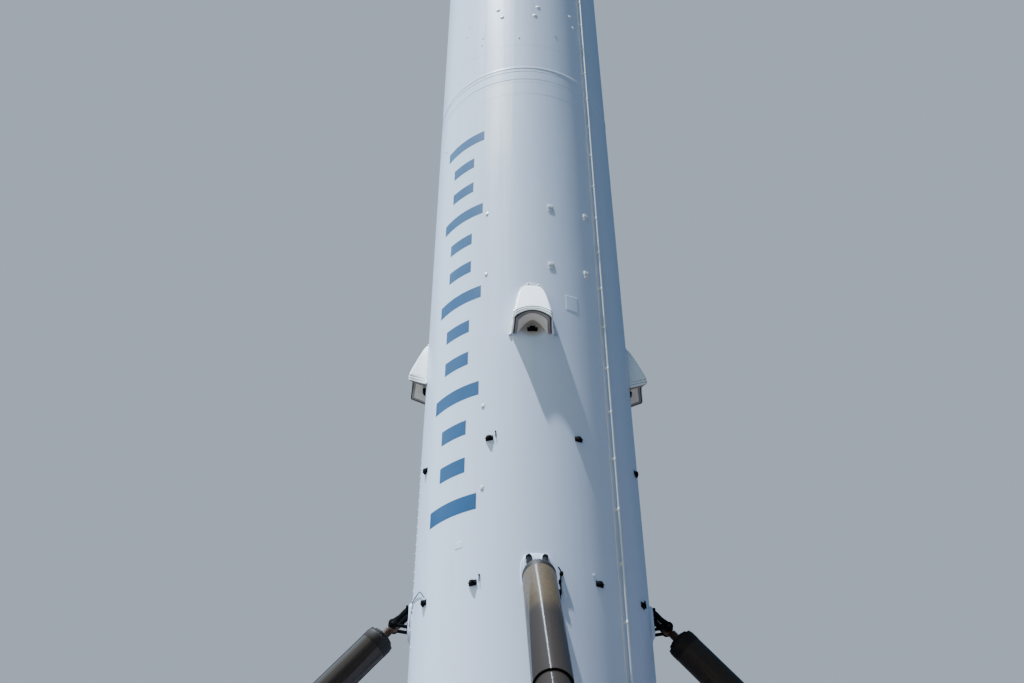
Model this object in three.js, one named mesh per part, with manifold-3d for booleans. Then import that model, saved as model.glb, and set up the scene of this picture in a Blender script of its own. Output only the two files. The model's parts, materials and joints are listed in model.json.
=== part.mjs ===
// Reusable rocket booster stage, standing on its four deployed legs: a 1:2 scale model, in millimetres.
// The floor is z = 0, the stage's axis is Z, and the front leg points along -Y.
import * as THREE from 'three';
import { mergeVertices } from 'three/addons/utils/BufferGeometryUtils.js';
import Module from 'manifold-3d';

const wasm = await Module();
wasm.setup();

// Driving dimensions
const skinRadius = 915;
const bodySides = 64;
const pinSides = 12;
const shaftSides = 24;
const tubeSides = 16;
const seat = 0.3; // gap between pieces that touch
const skirtBottom = 1500;
const skirtTop = 2300;
const tankJoint = 9155;
const tankTop = 21550;
const stageTop = 24800;
const wall = 16;
const domeHeight = 400;
const sunk = 870; // fittings start this far in and are cut off at the skin
const bossSides = 12;

const sides = { front: 0, right: 90, rear: 180, left: 270 };

const engine = {
  exitRadius: 225, exitZ: 950, throatRadius: 60, throatZ: 1490, chamberRadius: 82, chamberTop: 1625,
  shell: 8, pivotZ: 1660, circle: 680, count: 8, sides: 14, bellSteps: 3,
};
const chamber = { bowl: 68, bowlTop: 1610, bowlFloor: 1540, shoulder: 1535 };
const ear = { thick: 40, wide: 50, top: 1684, bore: 12.9, pin: 12, sideGap: 5, lug: 20, lugBottom: 1640 };
const gimbal = { pinZ: 1725, bottom: 1700, top: 1742, half: 30 };
const thrustPlate = 1760;
const heatShield = { bottom: 1505, top: 1530, radius: 884.7, hole: 110, bore: 885 };

const leg = {
  hingeR: 990, hingeZ: 1875, tipR: 4470, tipZ: 85, earY: 380, earHalf: 35, earRadius: 45,
  pin: 25, bore: 25.4, start: 90, rise: 20, channel: 125, channelDepth: 45, edge: 25, fullness: 0.8,
};
const legLug = { gap: 5, thick: 40, rootR: 760, rootHalf: 130, reach: 35, half: 35, shoulder: 60 };
const strutClevis = {
  radius: 42, thick: 22, gap: 0.6, drop: 110, footDrop: 165, footReach: 75, pinReach: 30,
};
// distance from the hinge, half width, depth of the outer shell
const legSections = [
  { at: 90, half: 430, depth: 70 },
  { at: 420, half: 470, depth: 150 },
  { at: 1200, half: 410, depth: 175 },
  { at: 2200, half: 290, depth: 150 },
  { at: 3200, half: 190, depth: 110 },
  { at: 3900, half: 130, depth: 60 },
];
const foot = { r: 4470, pad: 150, rim: 165, padHeight: 50, neck: 75, height: 100 };

const strut = {
  pivotR: 1052, pivotZ: 3641, slope: 48, length: 4260, capFrom: 108, capRadius: 86,
  neck: 26, eye: 40, eyeHalf: 28, pin: 18, bore: 19, endNeck: 200,
};
// end of each telescoping stage, measured from the upper pivot, and its radius
const strutStages = [
  { from: 150, to: 1630, radius: 115 },
  { from: 1630.3, to: 2550, radius: 102 },
  { from: 2550, to: 3400, radius: 88 },
  { from: 3400, to: 4060, radius: 75 },
];
const bracket = {
  halfWidth: 115, below: 137, above: 168, plate: 14, cheekY: 58, cheek: 34, boss: 34, pinReach: 22,
};
// arms from the base to the pivot: height of the root and of the tip above the pivot, and both widths
const bracketArms = [
  { root: 102, tip: 0, rootWidth: 78, tipWidth: 46 },
  { root: -30, tip: -4, rootWidth: 14, tipWidth: 14 },
  { root: -62, tip: -22, rootWidth: 14, tipWidth: 14 },
];

// the hood's rim rises outwards by the tilt, from rimZ at the skin
const hood = {
  rimZ: 5808, tilt: 0.377, topZ: 6345, half: 166, taper: 0.4, flare: 10, shoulder: 146, apex: 156,
  lip: 12, recess: 0.06, pocketFloor: 14, steps: 7, arcSteps: 8,
};
const conduit = { azimuth: 43.5, width: 22, height: 30, from: 2420, to: 21480, side: 16, bevel: 7 };
const raceway = {
  azimuth: 225, width: 130, height: 60, from: 2420, to: 21450, nose: 120, endLift: 8, side: 4, bevel: 22,
};
const pod = {
  azimuths: [45, 225], width: 260, height: 420, depth: 110, z: 24150, slope: 60, taper: 20, edge: 30,
};

const fin = {
  z: 22050, hingeR: 1080, root: 95, length: 620, half: 300, chord: 96, frame: 14, web: 9, cells: 3,
  corner: 150, rootHalf: 110, hubRadius: 48, hubLength: 70, shaft: 30, bore: 31,
};
const yoke = { half: 45, pin: 18, bore: 19, gap: 6, cheek: 22, hub: 42, neckHalf: 38 };
const finSeat = { below: 120, above: 75, side: 25, depth: 40, tip: 30, reach: 40, shoulder: 20 };

const paint = { white: 0xd9dde0, dark: 0x2b2a2a, metal: 0x8f9296, alloy: 0xb9bcc0 };

// Solids
function solidOf(geometry) {
  const bare = new THREE.BufferGeometry();
  bare.setAttribute('position', geometry.getAttribute('position').clone());
  if (geometry.index) bare.setIndex(geometry.index.clone());
  const merged = mergeVertices(bare, 1e-3);
  const points = merged.getAttribute('position');
  const corners = Array.from(merged.index.array);
  let volume = 0;
  const [a, b, c] = [new THREE.Vector3(), new THREE.Vector3(), new THREE.Vector3()];
  const faces = [];
  for (let i = 0; i < corners.length; i += 3) {
    const [p, q, r] = corners.slice(i, i + 3);
    if (p === q || q === r || r === p) continue;
    faces.push([p, q, r]);
    a.fromBufferAttribute(points, p);
    b.fromBufferAttribute(points, q);
    c.fromBufferAttribute(points, r);
    volume += a.dot(b.cross(c));
  }
  const outwards = volume < 0 ? faces.map(([p, q, r]) => [p, r, q]) : faces;
  return new wasm.Manifold(new wasm.Mesh({
    numProp: 3,
    vertProperties: new Float32Array(points.array),
    triVerts: new Uint32Array(outwards.flat()),
  }));
}

function geometryOf(solid) {
  const mesh = solid.getMesh();
  const geometry = new THREE.BufferGeometry();
  geometry.setAttribute('position', new THREE.BufferAttribute(new Float32Array(mesh.vertProperties), 3));
  geometry.setIndex(Array.from(mesh.triVerts));
  return geometry;
}

const join = (...solids) => solids.reduce((all, one) => all.add(one));
const cut = (solid, ...tools) => tools.reduce((rest, tool) => rest.subtract(tool), solid);

// a profile of [radius, height] points turned about Z
function turned(profile, count) {
  const points = profile.map(([r, z]) => new THREE.Vector2(r, z));
  return solidOf(new THREE.LatheGeometry(points, count).rotateX(Math.PI / 2));
}

function block(x0, x1, y0, y1, z0, z1) {
  const box = new THREE.BoxGeometry(x1 - x0, y1 - y0, z1 - z0);
  return solidOf(box.translate((x0 + x1) / 2, (y0 + y1) / 2, (z0 + z1) / 2));
}

function rod(start, end, radius, count, endRadius = radius) {
  const from = new THREE.Vector3(...start);
  const run = new THREE.Vector3(...end).sub(from);
  const cylinder = new THREE.CylinderGeometry(endRadius, radius, run.length(), count);
  cylinder.translate(0, run.length() / 2, 0);
  const upright = new THREE.Vector3(0, 1, 0);
  const turn = new THREE.Quaternion().setFromUnitVectors(upright, run.clone().normalize());
  return solidOf(cylinder.applyQuaternion(turn).translate(from.x, from.y, from.z));
}

// an outline of [x, z] points, given a thickness along Y from y0 to y1
function plate(outline, y0, y1, holes = []) {
  const shape = new THREE.Shape(outline.map(([x, z]) => new THREE.Vector2(x, z)));
  shape.holes = holes.map((hole) => new THREE.Path(hole.map(([x, z]) => new THREE.Vector2(x, z))));
  const slab = new THREE.ExtrudeGeometry(shape, { depth: y1 - y0, bevelEnabled: false });
  return solidOf(slab.rotateX(Math.PI / 2).translate(0, y1, 0));
}

// a bar in the XZ plane that may taper, given a thickness along Y
function bar([x0, z0], [x1, z1], width0, width1, y0, y1) {
  const along = new THREE.Vector2(x1 - x0, z1 - z0).normalize();
  const [nx, nz] = [-along.y / 2, along.x / 2];
  return plate([
    [x0 + nx * width0, z0 + nz * width0], [x0 - nx * width0, z0 - nz * width0],
    [x1 - nx * width1, z1 - nz * width1], [x1 + nx * width1, z1 + nz * width1],
  ], y0, y1);
}

// rings with the same count of points, joined in order and closed by flat ends
function loft(rings) {
  const count = rings[0].length;
  const positions = rings.flat(2);
  const index = [];
  for (let r = 0; r + 1 < rings.length; r += 1) {
    for (let i = 0; i < count; i += 1) {
      const [a, b] = [r * count + i, r * count + ((i + 1) % count)];
      index.push(a, b, b + count, a, b + count, a + count);
    }
  }
  const flat = rings[0].map(([, y, z]) => new THREE.Vector2(y, z));
  const caps = THREE.ShapeUtils.triangulateShape(flat, []);
  const last = (rings.length - 1) * count;
  caps.forEach(([a, b, c]) => index.push(a, c, b, last + a, last + b, last + c));
  const geometry = new THREE.BufferGeometry();
  geometry.setAttribute('position', new THREE.BufferAttribute(new Float32Array(positions), 3));
  geometry.setIndex(index);
  return solidOf(geometry);
}

const skinCutter = rod([0, 0, 0], [0, 0, stageTop + 100], skinRadius + seat, bodySides);

// Assembly helpers
const rocket = new THREE.Group();

function material(colour, roughness = 0.5, metalness = 0) {
  return new THREE.MeshStandardMaterial({ color: colour, roughness, metalness });
}

function addPart(name, solid, finish, parent = rocket) {
  const mesh = new THREE.Mesh(geometryOf(solid), finish);
  mesh.name = name;
  parent.add(mesh);
  return mesh;
}

// a group whose +X points outwards at this azimuth, counted from the front towards the right
function outward(azimuth) {
  const group = new THREE.Group();
  group.rotation.z = THREE.MathUtils.degToRad(azimuth - 90);
  rocket.add(group);
  return group;
}

function polar(azimuth, radius) {
  const turn = THREE.MathUtils.degToRad(azimuth - 90);
  return [radius * Math.cos(turn), radius * Math.sin(turn)];
}

// Stage body
function clevisPin(y, z, half, radius) {
  return rod([0, y - half, z], [0, y + half, z], radius, pinSides);
}

// two lugs and their pin, hanging from the thrust plate in a frame whose X is the pin's axis
function engineLugs() {
  const inner = ear.thick / 2 + ear.sideGap;
  const outer = inner + ear.lug;
  const halfWide = ear.wide / 2;
  const top = thrustPlate + 10;
  return join(
    block(inner, outer, -halfWide, halfWide, ear.lugBottom, top),
    block(-outer, -inner, -halfWide, halfWide, ear.lugBottom, top),
    rod([-outer, 0, engine.pivotZ], [outer, 0, engine.pivotZ], ear.pin, pinSides),
  );
}

function centreLugs() {
  const inner = gimbal.half + ear.sideGap;
  const outer = inner + ear.lug;
  const top = thrustPlate + 10;
  return join(
    block(-gimbal.half, gimbal.half, inner, outer, gimbal.bottom + 5, top),
    block(-gimbal.half, gimbal.half, -outer, -inner, gimbal.bottom + 5, top),
    clevisPin(0, gimbal.pinZ, outer, ear.pin),
  );
}

function legLugs() {
  const { rootR, rootHalf, reach, half, shoulder } = legLug;
  const near = leg.earHalf + legLug.gap;
  const far = near + legLug.thick;
  const outline = [
    [rootR, -rootHalf], [leg.hingeR - reach, -shoulder], [leg.hingeR + reach, -half],
    [leg.hingeR + reach, half], [leg.hingeR - reach, shoulder], [rootR, rootHalf],
  ].map(([x, z]) => [x, leg.hingeZ + z]);
  const parts = [];
  [-leg.earY, leg.earY].forEach((centre) => {
    parts.push(plate(outline, centre - far, centre - near));
    parts.push(plate(outline, centre + near, centre + far));
    parts.push(rod([leg.hingeR, centre - far, leg.hingeZ], [leg.hingeR, centre + far, leg.hingeZ],
      leg.pin, pinSides));
  });
  return join(...parts);
}

function engineSection() {
  const shell = turned([
    [0, thrustPlate], [heatShield.bore, thrustPlate], [heatShield.bore, skirtBottom],
    [skinRadius, skirtBottom], [skinRadius, skirtTop - seat], [0, skirtTop - seat],
  ], bodySides);
  const parts = [shell, centreLugs()];
  for (let i = 0; i < engine.count; i += 1) {
    const azimuth = (360 / engine.count) * i;
    parts.push(engineLugs().rotate([0, 0, azimuth]).translate([...polar(azimuth, engine.circle), 0]));
  }
  Object.values(sides).forEach((azimuth) => parts.push(legLugs().rotate([0, 0, azimuth - 90])));
  return join(...parts);
}

function baseHeatShield() {
  const disc = turned([
    [0, heatShield.bottom], [heatShield.radius, heatShield.bottom],
    [heatShield.radius, heatShield.top], [0, heatShield.top],
  ], bodySides);
  const holes = [[0, 0]];
  for (let i = 0; i < engine.count; i += 1) holes.push(polar((360 / engine.count) * i, engine.circle));
  return cut(disc, ...holes.map(([x, y]) => rod([x, y, heatShield.bottom - 5], [x, y, heatShield.top + 5],
    heatShield.hole, tubeSides)));
}

function oxidizerTank() {
  const dome = [];
  const steps = 4;
  const domeRadius = skinRadius - wall - 4;
  for (let i = 0; i <= steps; i += 1) {
    const angle = (Math.PI / 2) * (i / steps);
    dome.push([domeRadius * Math.cos(angle), tankTop + domeHeight * Math.sin(angle)]);
  }
  dome[steps][0] = 0;
  const base = tankJoint + seat;
  return turned([[0, base], [skinRadius, base], [skinRadius, tankTop], ...dome], bodySides);
}

// Engines
function engineBell() {
  const outer = [];
  const steps = engine.bellSteps;
  const fullness = 0.6;
  for (let i = 0; i <= steps; i += 1) {
    const down = 1 - i / steps;
    const radius = engine.throatRadius + (engine.exitRadius - engine.throatRadius) * down ** fullness;
    outer.push([radius, engine.throatZ - (engine.throatZ - engine.exitZ) * down]);
  }
  const inner = outer.map(([r, z]) => [r - engine.shell, z]).reverse();
  const body = turned([
    [0, chamber.bowlTop], [chamber.bowl, chamber.bowlTop], [chamber.bowl, chamber.bowlFloor],
    ...inner, ...outer,
    [engine.chamberRadius, chamber.shoulder], [engine.chamberRadius, engine.chamberTop],
    [0, engine.chamberTop],
  ], engine.sides);
  const half = ear.thick / 2;
  const head = block(-half, half, -ear.wide / 2, ear.wide / 2, engine.chamberTop - 10, ear.top);
  const bore = rod([-half - 5, 0, engine.pivotZ], [half + 5, 0, engine.pivotZ], ear.bore, pinSides);
  return cut(join(body, head), bore);
}

function gimbalBlock() {
  const inner = ear.thick / 2 + ear.sideGap;
  const outer = inner + ear.lug;
  const halfWide = ear.wide / 2;
  const body = block(-outer, outer, -gimbal.half, gimbal.half, gimbal.bottom, gimbal.top);
  const lugs = [[inner, outer], [-outer, -inner]].map(([x0, x1]) => (
    block(x0, x1, -halfWide, halfWide, ear.lugBottom, gimbal.bottom + 5)));
  const lowerPin = rod([-outer, 0, engine.pivotZ], [outer, 0, engine.pivotZ], ear.pin, pinSides);
  const bore = clevisPin(0, gimbal.pinZ, gimbal.half + 5, ear.bore);
  return cut(join(body, ...lugs, lowerPin), bore);
}

// Landing legs, in a frame whose +X points outwards
const legRun = new THREE.Vector2(leg.tipR - leg.hingeR, leg.tipZ - leg.hingeZ).normalize();
const legTurn = -THREE.MathUtils.radToDeg(Math.atan2(legRun.y, legRun.x));

function legShell() {
  const arcSteps = 6;
  const rings = legSections.map(({ at, half, depth }) => {
    const channel = Math.min(leg.channel, half - 45);
    const top = leg.rise;
    const floor = top - leg.channelDepth;
    const arc = [];
    for (let i = 0; i <= arcSteps; i += 1) {
      const angle = Math.PI * (i / arcSteps);
      arc.push([at, -half * Math.cos(angle), -depth * Math.sin(angle) ** leg.fullness]);
    }
    return [
      ...arc, [at, half - leg.edge, top], [at, channel, top], [at, channel - 15, floor],
      [at, 15 - channel, floor], [at, -channel, top], [at, leg.edge - half, top],
    ];
  });
  const arms = [-1, 1].map((side) => {
    const [y0, y1] = [side * leg.earY - leg.earHalf, side * leg.earY + leg.earHalf];
    return join(
      rod([0, y0, 0], [0, y1, 0], leg.earRadius, pinSides),
      plate([[0, -38], [leg.start + 150, -30], [leg.start + 150, 18], [0, 38]], y0, y1),
    );
  });
  return join(loft(rings), ...arms);
}

function strutEnd() {
  const slope = THREE.MathUtils.degToRad(strut.slope);
  return [strut.pivotR + strut.length * Math.cos(slope), strut.pivotZ - strut.length * Math.sin(slope)];
}

function footSolid(grow) {
  return turned([
    [0, 0], [foot.pad + grow, 0], [foot.rim + grow, 18], [foot.pad + grow, foot.padHeight + grow],
    [foot.neck + grow, foot.height + grow], [0, foot.height + grow],
  ], tubeSides).translate([foot.r, 0, 0]);
}

function legBody() {
  const turn = legShell().rotate([0, legTurn, 0]).translate([leg.hingeR, 0, leg.hingeZ]);
  const [endR, endZ] = strutEnd();
  const { radius, thick, drop, footDrop, footReach, pinReach } = strutClevis;
  const near = strut.eyeHalf + strutClevis.gap;
  const far = near + thick;
  const cheeks = [[near, far], [-far, -near]].map(([y0, y1]) => join(
    rod([endR, y0, endZ], [endR, y1, endZ], radius, bossSides),
    plate([[endR - radius, endZ], [endR - drop, endZ - drop], [endR + footReach, endZ - footDrop],
      [endR + radius, endZ]], y0, y1),
  ));
  const pin = rod([endR, -near - pinReach, endZ], [endR, near + pinReach, endZ], strut.pin, pinSides);
  const bores = [-1, 1].map((side) => {
    const [y0, y1] = [side * leg.earY - 2 * leg.earHalf, side * leg.earY + 2 * leg.earHalf];
    return rod([leg.hingeR, y0, leg.hingeZ], [leg.hingeR, y1, leg.hingeZ], leg.bore, pinSides);
  });
  return cut(join(turn, ...cheeks, pin), ...bores, footSolid(seat));
}

function strutEye(at) {
  return rod([at, -strut.eyeHalf, 0], [at, strut.eyeHalf, 0], strut.eye, pinSides);
}

function placeStrut(solid) {
  return solid.rotate([0, strut.slope, 0]).translate([strut.pivotR, 0, strut.pivotZ]);
}

function upperTube() {
  const stage = strutStages[0];
  const bore = rod([0, -strut.eyeHalf - 5, 0], [0, strut.eyeHalf + 5, 0], strut.bore, pinSides);
  return placeStrut(cut(join(
    strutEye(0),
    rod([20, 0, 0], [strut.capFrom + 5, 0, 0], strut.neck, pinSides),
    rod([strut.capFrom, 0, 0], [stage.from + 5, 0, 0], strut.capRadius, tubeSides),
    rod([stage.from, 0, 0], [stage.to, 0, 0], stage.radius, tubeSides),
  ), bore));
}

function lowerTube() {
  const stages = strutStages.slice(1).map(({ from, to, radius }) => (
    rod([from, 0, 0], [to, 0, 0], radius, tubeSides)));
  const end = strut.length;
  const bore = rod([end, -strut.eyeHalf - 5, 0], [end, strut.eyeHalf + 5, 0], strut.bore, pinSides);
  return placeStrut(cut(join(
    ...stages,
    rod([end - strut.endNeck - 5, 0, 0], [end - 20, 0, 0], strut.neck, pinSides),
    strutEye(end),
  ), bore));
}

function strutBracket() {
  const [x, z] = [strut.pivotR, strut.pivotZ];
  const inner = skinRadius + bracket.plate / 2;
  const base = block(sunk, skinRadius + bracket.plate, -bracket.halfWidth, bracket.halfWidth,
    z - bracket.below, z + bracket.above);
  const cheeks = [-bracket.cheekY, bracket.cheekY].map((centre) => {
    const [y0, y1] = [centre - bracket.cheek / 2, centre + bracket.cheek / 2];
    const arms = bracketArms.map(({ root, tip, rootWidth, tipWidth }) => (
      bar([inner, z + root], [x, z + tip], rootWidth, tipWidth, y0, y1)));
    return join(...arms, rod([x, y0, z], [x, y1, z], bracket.boss, bossSides));
  });
  const pinHalf = bracket.cheekY + bracket.pinReach;
  const pin = rod([x, -pinHalf, z], [x, pinHalf, z], strut.pin, pinSides);
  return cut(join(base, ...cheeks, pin), skinCutter);
}

// Hood over the tip of the folded leg: a scoop that fades into the skin above its rim
function hoodSolid() {
  const rings = [];
  for (let i = 0; i <= hood.steps; i += 1) {
    const up = Math.sin((Math.PI / 2) * (i / hood.steps)) * 0.99;
    const width = (1 - hood.taper * up) * Math.sqrt(1 - up ** 7);
    const depth = 1 - up ** 1.25;
    rings.push(hoodRing(up, hood.half * width, hood.shoulder * depth, hood.apex * depth));
  }
  const inside = [-0.01, hood.recess].map((up) => (
    hoodRing(up, hood.half - hood.lip, hood.shoulder - hood.lip / 2, hood.apex - hood.lip)));
  const core = rod([0, 0, 0], [0, 0, stageTop], skinRadius + hood.pocketFloor, bodySides);
  const pocket = cut(loftUp(inside), core);
  return cut(loftUp(rings), skinCutter, pocket);
}

// up runs from 0 at the rim to 1 at the top
function hoodRing(up, half, shoulder, apex) {
  const foot = half + hood.flare * (1 - up);
  const raised = (x) => (
    hood.rimZ + (hood.topZ - hood.rimZ) * up + hood.tilt * (1 - up) * (x - skinRadius));
  const ring = [[sunk, -foot, raised(sunk)]];
  for (let i = 0; i <= hood.arcSteps; i += 1) {
    const angle = Math.PI * (i / hood.arcSteps);
    const x = skinRadius + shoulder + (apex - shoulder) * Math.sin(angle);
    ring.push([x, -half * Math.cos(angle), raised(x)]);
  }
  ring.push([sunk, foot, raised(sunk)]);
  return ring;
}

function loftUp(rings) {
  const sideways = rings.map((ring) => ring.map(([x, y, z]) => [z, y, -x]));
  return loft(sideways).rotate([0, -90, 0]);
}

// Services along the body
function conduitSolid() {
  const { width, height, from, to, side, bevel } = conduit;
  return cut(loftUp([from, to].map((z) => strapRing(z, height, width / 2, side, bevel))), skinCutter);
}

// a low cover's section: straight sides out of the skin, bevelled over to a flat top
function strapRing(z, lift, half, side, bevel) {
  const top = skinRadius + lift;
  return [
    [sunk, -half, z], [top - side, -half, z], [top, -half + bevel, z], [top, half - bevel, z],
    [top - side, half, z], [sunk, half, z],
  ];
}

function racewaySolid() {
  const { width, height, from, to, nose, endLift, side, bevel } = raceway;
  const stations = [[from, endLift], [from + nose, height], [to - nose, height], [to, endLift]];
  return cut(loftUp(stations.map(([z, lift]) => strapRing(z, lift, width / 2, side, bevel))), skinCutter);
}

function podSolid() {
  const half = pod.width / 2;
  const [low, high] = [pod.z - pod.height / 2, pod.z + pod.height / 2];
  const endLift = pod.depth - pod.slope;
  const stations = [
    [low, endLift, half - pod.taper], [low + pod.slope, pod.depth, half],
    [high - pod.slope, pod.depth, half], [high, endLift, half - pod.taper],
  ];
  const rings = stations.map(([z, lift, wide]) => strapRing(z, lift, wide, pod.edge, pod.edge));
  return cut(loftUp(rings), skinCutter);
}

// Grid fins, in a frame whose +X points outwards
function finBase() {
  const { below, above, side, depth, tip, shoulder } = finSeat;
  const reach = fin.hingeR + finSeat.reach;
  const inner = yoke.half + yoke.gap;
  const outer = inner + yoke.cheek;
  const backHalf = outer + side;
  const back = block(sunk, skinRadius + depth, -backHalf, backHalf, fin.z - below, fin.z + above);
  const outline = [
    [sunk, 10 - below], [fin.hingeR - shoulder, -2 * tip], [reach, -tip], [reach, tip],
    [fin.hingeR - shoulder, 1.5 * tip], [sunk, 1.5 * tip],
  ].map(([x, z]) => [x, fin.z + z]);
  const cheeks = [[inner, outer], [-outer, -inner]].map(([y0, y1]) => plate(outline, y0, y1));
  const pin = rod([fin.hingeR, -outer, fin.z], [fin.hingeR, outer, fin.z], yoke.pin, pinSides);
  return cut(join(back, ...cheeks, pin), skinCutter);
}

function finYoke() {
  const x = fin.hingeR;
  const neckEnd = x + fin.root - 8;
  const hub = rod([x, -yoke.half, fin.z], [x, yoke.half, fin.z], yoke.hub, bossSides);
  const neck = block(x, neckEnd, -yoke.half, yoke.half, fin.z - yoke.neckHalf, fin.z + yoke.neckHalf);
  const shaftEnd = x + fin.root + fin.hubLength - 10;
  const shaft = rod([x + yoke.hub, 0, fin.z], [shaftEnd, 0, fin.z], fin.shaft, shaftSides);
  const bore = rod([x, -yoke.half - 5, fin.z], [x, yoke.half + 5, fin.z], yoke.bore, pinSides);
  return cut(join(hub, neck, shaft), bore);
}

function gridFin() {
  const x0 = fin.hingeR + fin.root;
  const x1 = x0 + fin.length;
  const { half, corner, frame, cells, web, rootHalf } = fin;
  const outline = [
    [x0, -rootHalf], [x0 + corner, -half], [x1, -half], [x1, half], [x0 + corner, half], [x0, rootHalf],
  ];
  const pitch = (2 * half) / cells;
  const reach = pitch / 2 - web * 0.7;
  const holes = [];
  const rows = Math.ceil(fin.length / pitch) * 2 + 1;
  for (let row = 0; row < rows; row += 1) {
    const x = x0 + (row * pitch) / 2;
    for (let column = 0; column <= cells; column += 1) {
      const y = -half + pitch * (column + (row % 2 ? 0.5 : 0));
      holes.push([[x - reach, y], [x, y - reach], [x + reach, y], [x, y + reach]]);
    }
  }
  const slab = flatPlate(outline, fin.z - fin.chord / 2, fin.z + fin.chord / 2);
  const inside = flatPlate(insetOutline(outline, frame), fin.z - fin.chord, fin.z + fin.chord);
  const cutters = holes.map((hole) => flatPlate(hole, fin.z - fin.chord, fin.z + fin.chord));
  const lattice = inside.intersect(wasm.Manifold.union(cutters));
  const hubEnd = x0 + fin.hubLength;
  const hub = rod([x0, 0, fin.z], [hubEnd + 25, 0, fin.z], fin.hubRadius, pinSides);
  const bore = rod([x0 - 5, 0, fin.z], [hubEnd, 0, fin.z], fin.bore, shaftSides);
  return cut(join(cut(slab, lattice), hub), bore);
}

// an outline of [x, y] points raised from z0 to z1
function flatPlate(outline, z0, z1) {
  const shape = new THREE.Shape(outline.map(([x, y]) => new THREE.Vector2(x, y)));
  const raised = new THREE.ExtrudeGeometry(shape, { depth: z1 - z0, bevelEnabled: false });
  return solidOf(raised.translate(0, 0, z0));
}

// a convex outline moved inwards by an even margin
function insetOutline(outline, margin) {
  const total = outline.reduce(([sx, sy], [x, y]) => [sx + x, sy + y], [0, 0]);
  const centre = total.map((v) => v / outline.length);
  const edges = outline.map(([x, y], i) => {
    const [x2, y2] = outline[(i + 1) % outline.length];
    const run = new THREE.Vector2(x2 - x, y2 - y).normalize();
    let normal = new THREE.Vector2(-run.y, run.x);
    if (normal.dot(new THREE.Vector2(centre[0] - x, centre[1] - y)) < 0) normal = normal.negate();
    return { normal, offset: normal.x * x + normal.y * y + margin };
  });
  return edges.map((edge, i) => {
    const before = edges[(i + edges.length - 1) % edges.length];
    const turn = before.normal.x * edge.normal.y - before.normal.y * edge.normal.x;
    return [
      (before.offset * edge.normal.y - edge.offset * before.normal.y) / turn,
      (before.normal.x * edge.offset - edge.normal.x * before.offset) / turn,
    ];
  });
}

// Placing every piece
const white = material(paint.white, 0.4);
const dark = material(paint.dark, 0.45);
const metal = material(paint.metal, 0.35, 0.9);
const alloy = material(paint.alloy, 0.4, 0.9);

addPart('engine_section', engineSection(), white);
addPart('base_heat_shield', baseHeatShield(), dark);
addPart('fuel_tank', turned([
  [0, skirtTop], [skinRadius, skirtTop], [skinRadius, tankJoint], [0, tankJoint],
], bodySides), white);
addPart('oxidizer_tank', oxidizerTank(), white);
addPart('interstage', turned([
  [skinRadius - wall, tankTop + seat], [skinRadius, tankTop + seat], [skinRadius, stageTop],
  [skinRadius - wall, stageTop], [skinRadius - wall, tankTop + seat],
], bodySides), white);
addPart('conduit', conduitSolid(), white, outward(conduit.azimuth));
addPart('rear_raceway', racewaySolid(), white, outward(raceway.azimuth));
pod.azimuths.forEach((azimuth, i) => {
  addPart(`thruster_pod_${['right', 'left'][i]}`, podSolid(), white, outward(azimuth));
});

Object.entries(sides).forEach(([side, azimuth]) => {
  const frame = outward(azimuth);
  addPart(`leg_tip_hood_${side}`, hoodSolid(), white, frame);
  addPart(`strut_bracket_${side}`, strutBracket(), dark, frame);
  addPart(`leg_${side}`, legBody(), white, frame);
  addPart(`foot_${side}`, footSolid(0), metal, frame);
  addPart(`strut_upper_tube_${side}`, upperTube(), dark, frame);
  addPart(`strut_lower_tube_${side}`, lowerTube(), dark, frame);
  addPart(`fin_base_${side}`, finBase(), white, frame);
  addPart(`fin_yoke_${side}`, finYoke(), alloy, frame);
  addPart(`grid_fin_${side}`, gridFin(), alloy, frame);
});

addPart('engine_centre', engineBell(), metal);
addPart('gimbal_block', gimbalBlock(), metal);
for (let i = 0; i < engine.count; i += 1) {
  const azimuth = (360 / engine.count) * i;
  const turn = new THREE.Group();
  const [x, y] = polar(azimuth, engine.circle);
  turn.position.set(x, y, 0);
  turn.rotation.z = THREE.MathUtils.degToRad(azimuth);
  rocket.add(turn);
  addPart(`engine_${i + 1}`, engineBell(), metal, turn);
}

export default rocket;
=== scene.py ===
import json
from math import asin, atan2, copysign, cos, degrees, pi, radians, sin, sqrt
import bmesh
import bpy
from mathutils import Matrix, Vector

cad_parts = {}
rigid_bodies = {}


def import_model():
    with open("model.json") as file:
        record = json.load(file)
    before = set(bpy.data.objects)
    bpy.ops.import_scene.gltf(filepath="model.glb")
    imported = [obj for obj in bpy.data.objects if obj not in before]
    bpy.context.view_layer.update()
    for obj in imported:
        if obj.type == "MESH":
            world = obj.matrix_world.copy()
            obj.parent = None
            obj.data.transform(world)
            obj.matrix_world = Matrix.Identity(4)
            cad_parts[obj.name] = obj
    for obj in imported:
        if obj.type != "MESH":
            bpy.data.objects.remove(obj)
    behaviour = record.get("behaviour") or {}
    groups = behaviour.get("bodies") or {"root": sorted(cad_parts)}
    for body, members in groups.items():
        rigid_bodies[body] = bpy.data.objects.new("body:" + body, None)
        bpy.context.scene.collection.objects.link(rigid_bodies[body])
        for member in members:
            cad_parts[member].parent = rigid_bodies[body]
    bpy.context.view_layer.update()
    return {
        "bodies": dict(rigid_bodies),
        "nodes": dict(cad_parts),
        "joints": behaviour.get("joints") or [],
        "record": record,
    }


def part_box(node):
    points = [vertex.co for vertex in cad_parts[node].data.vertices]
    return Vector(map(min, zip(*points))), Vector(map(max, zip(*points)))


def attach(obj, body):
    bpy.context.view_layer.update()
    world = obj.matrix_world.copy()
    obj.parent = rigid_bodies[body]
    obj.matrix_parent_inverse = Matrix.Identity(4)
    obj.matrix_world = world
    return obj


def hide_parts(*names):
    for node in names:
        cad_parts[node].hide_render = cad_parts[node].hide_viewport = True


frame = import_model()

print("frame loaded")

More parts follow.
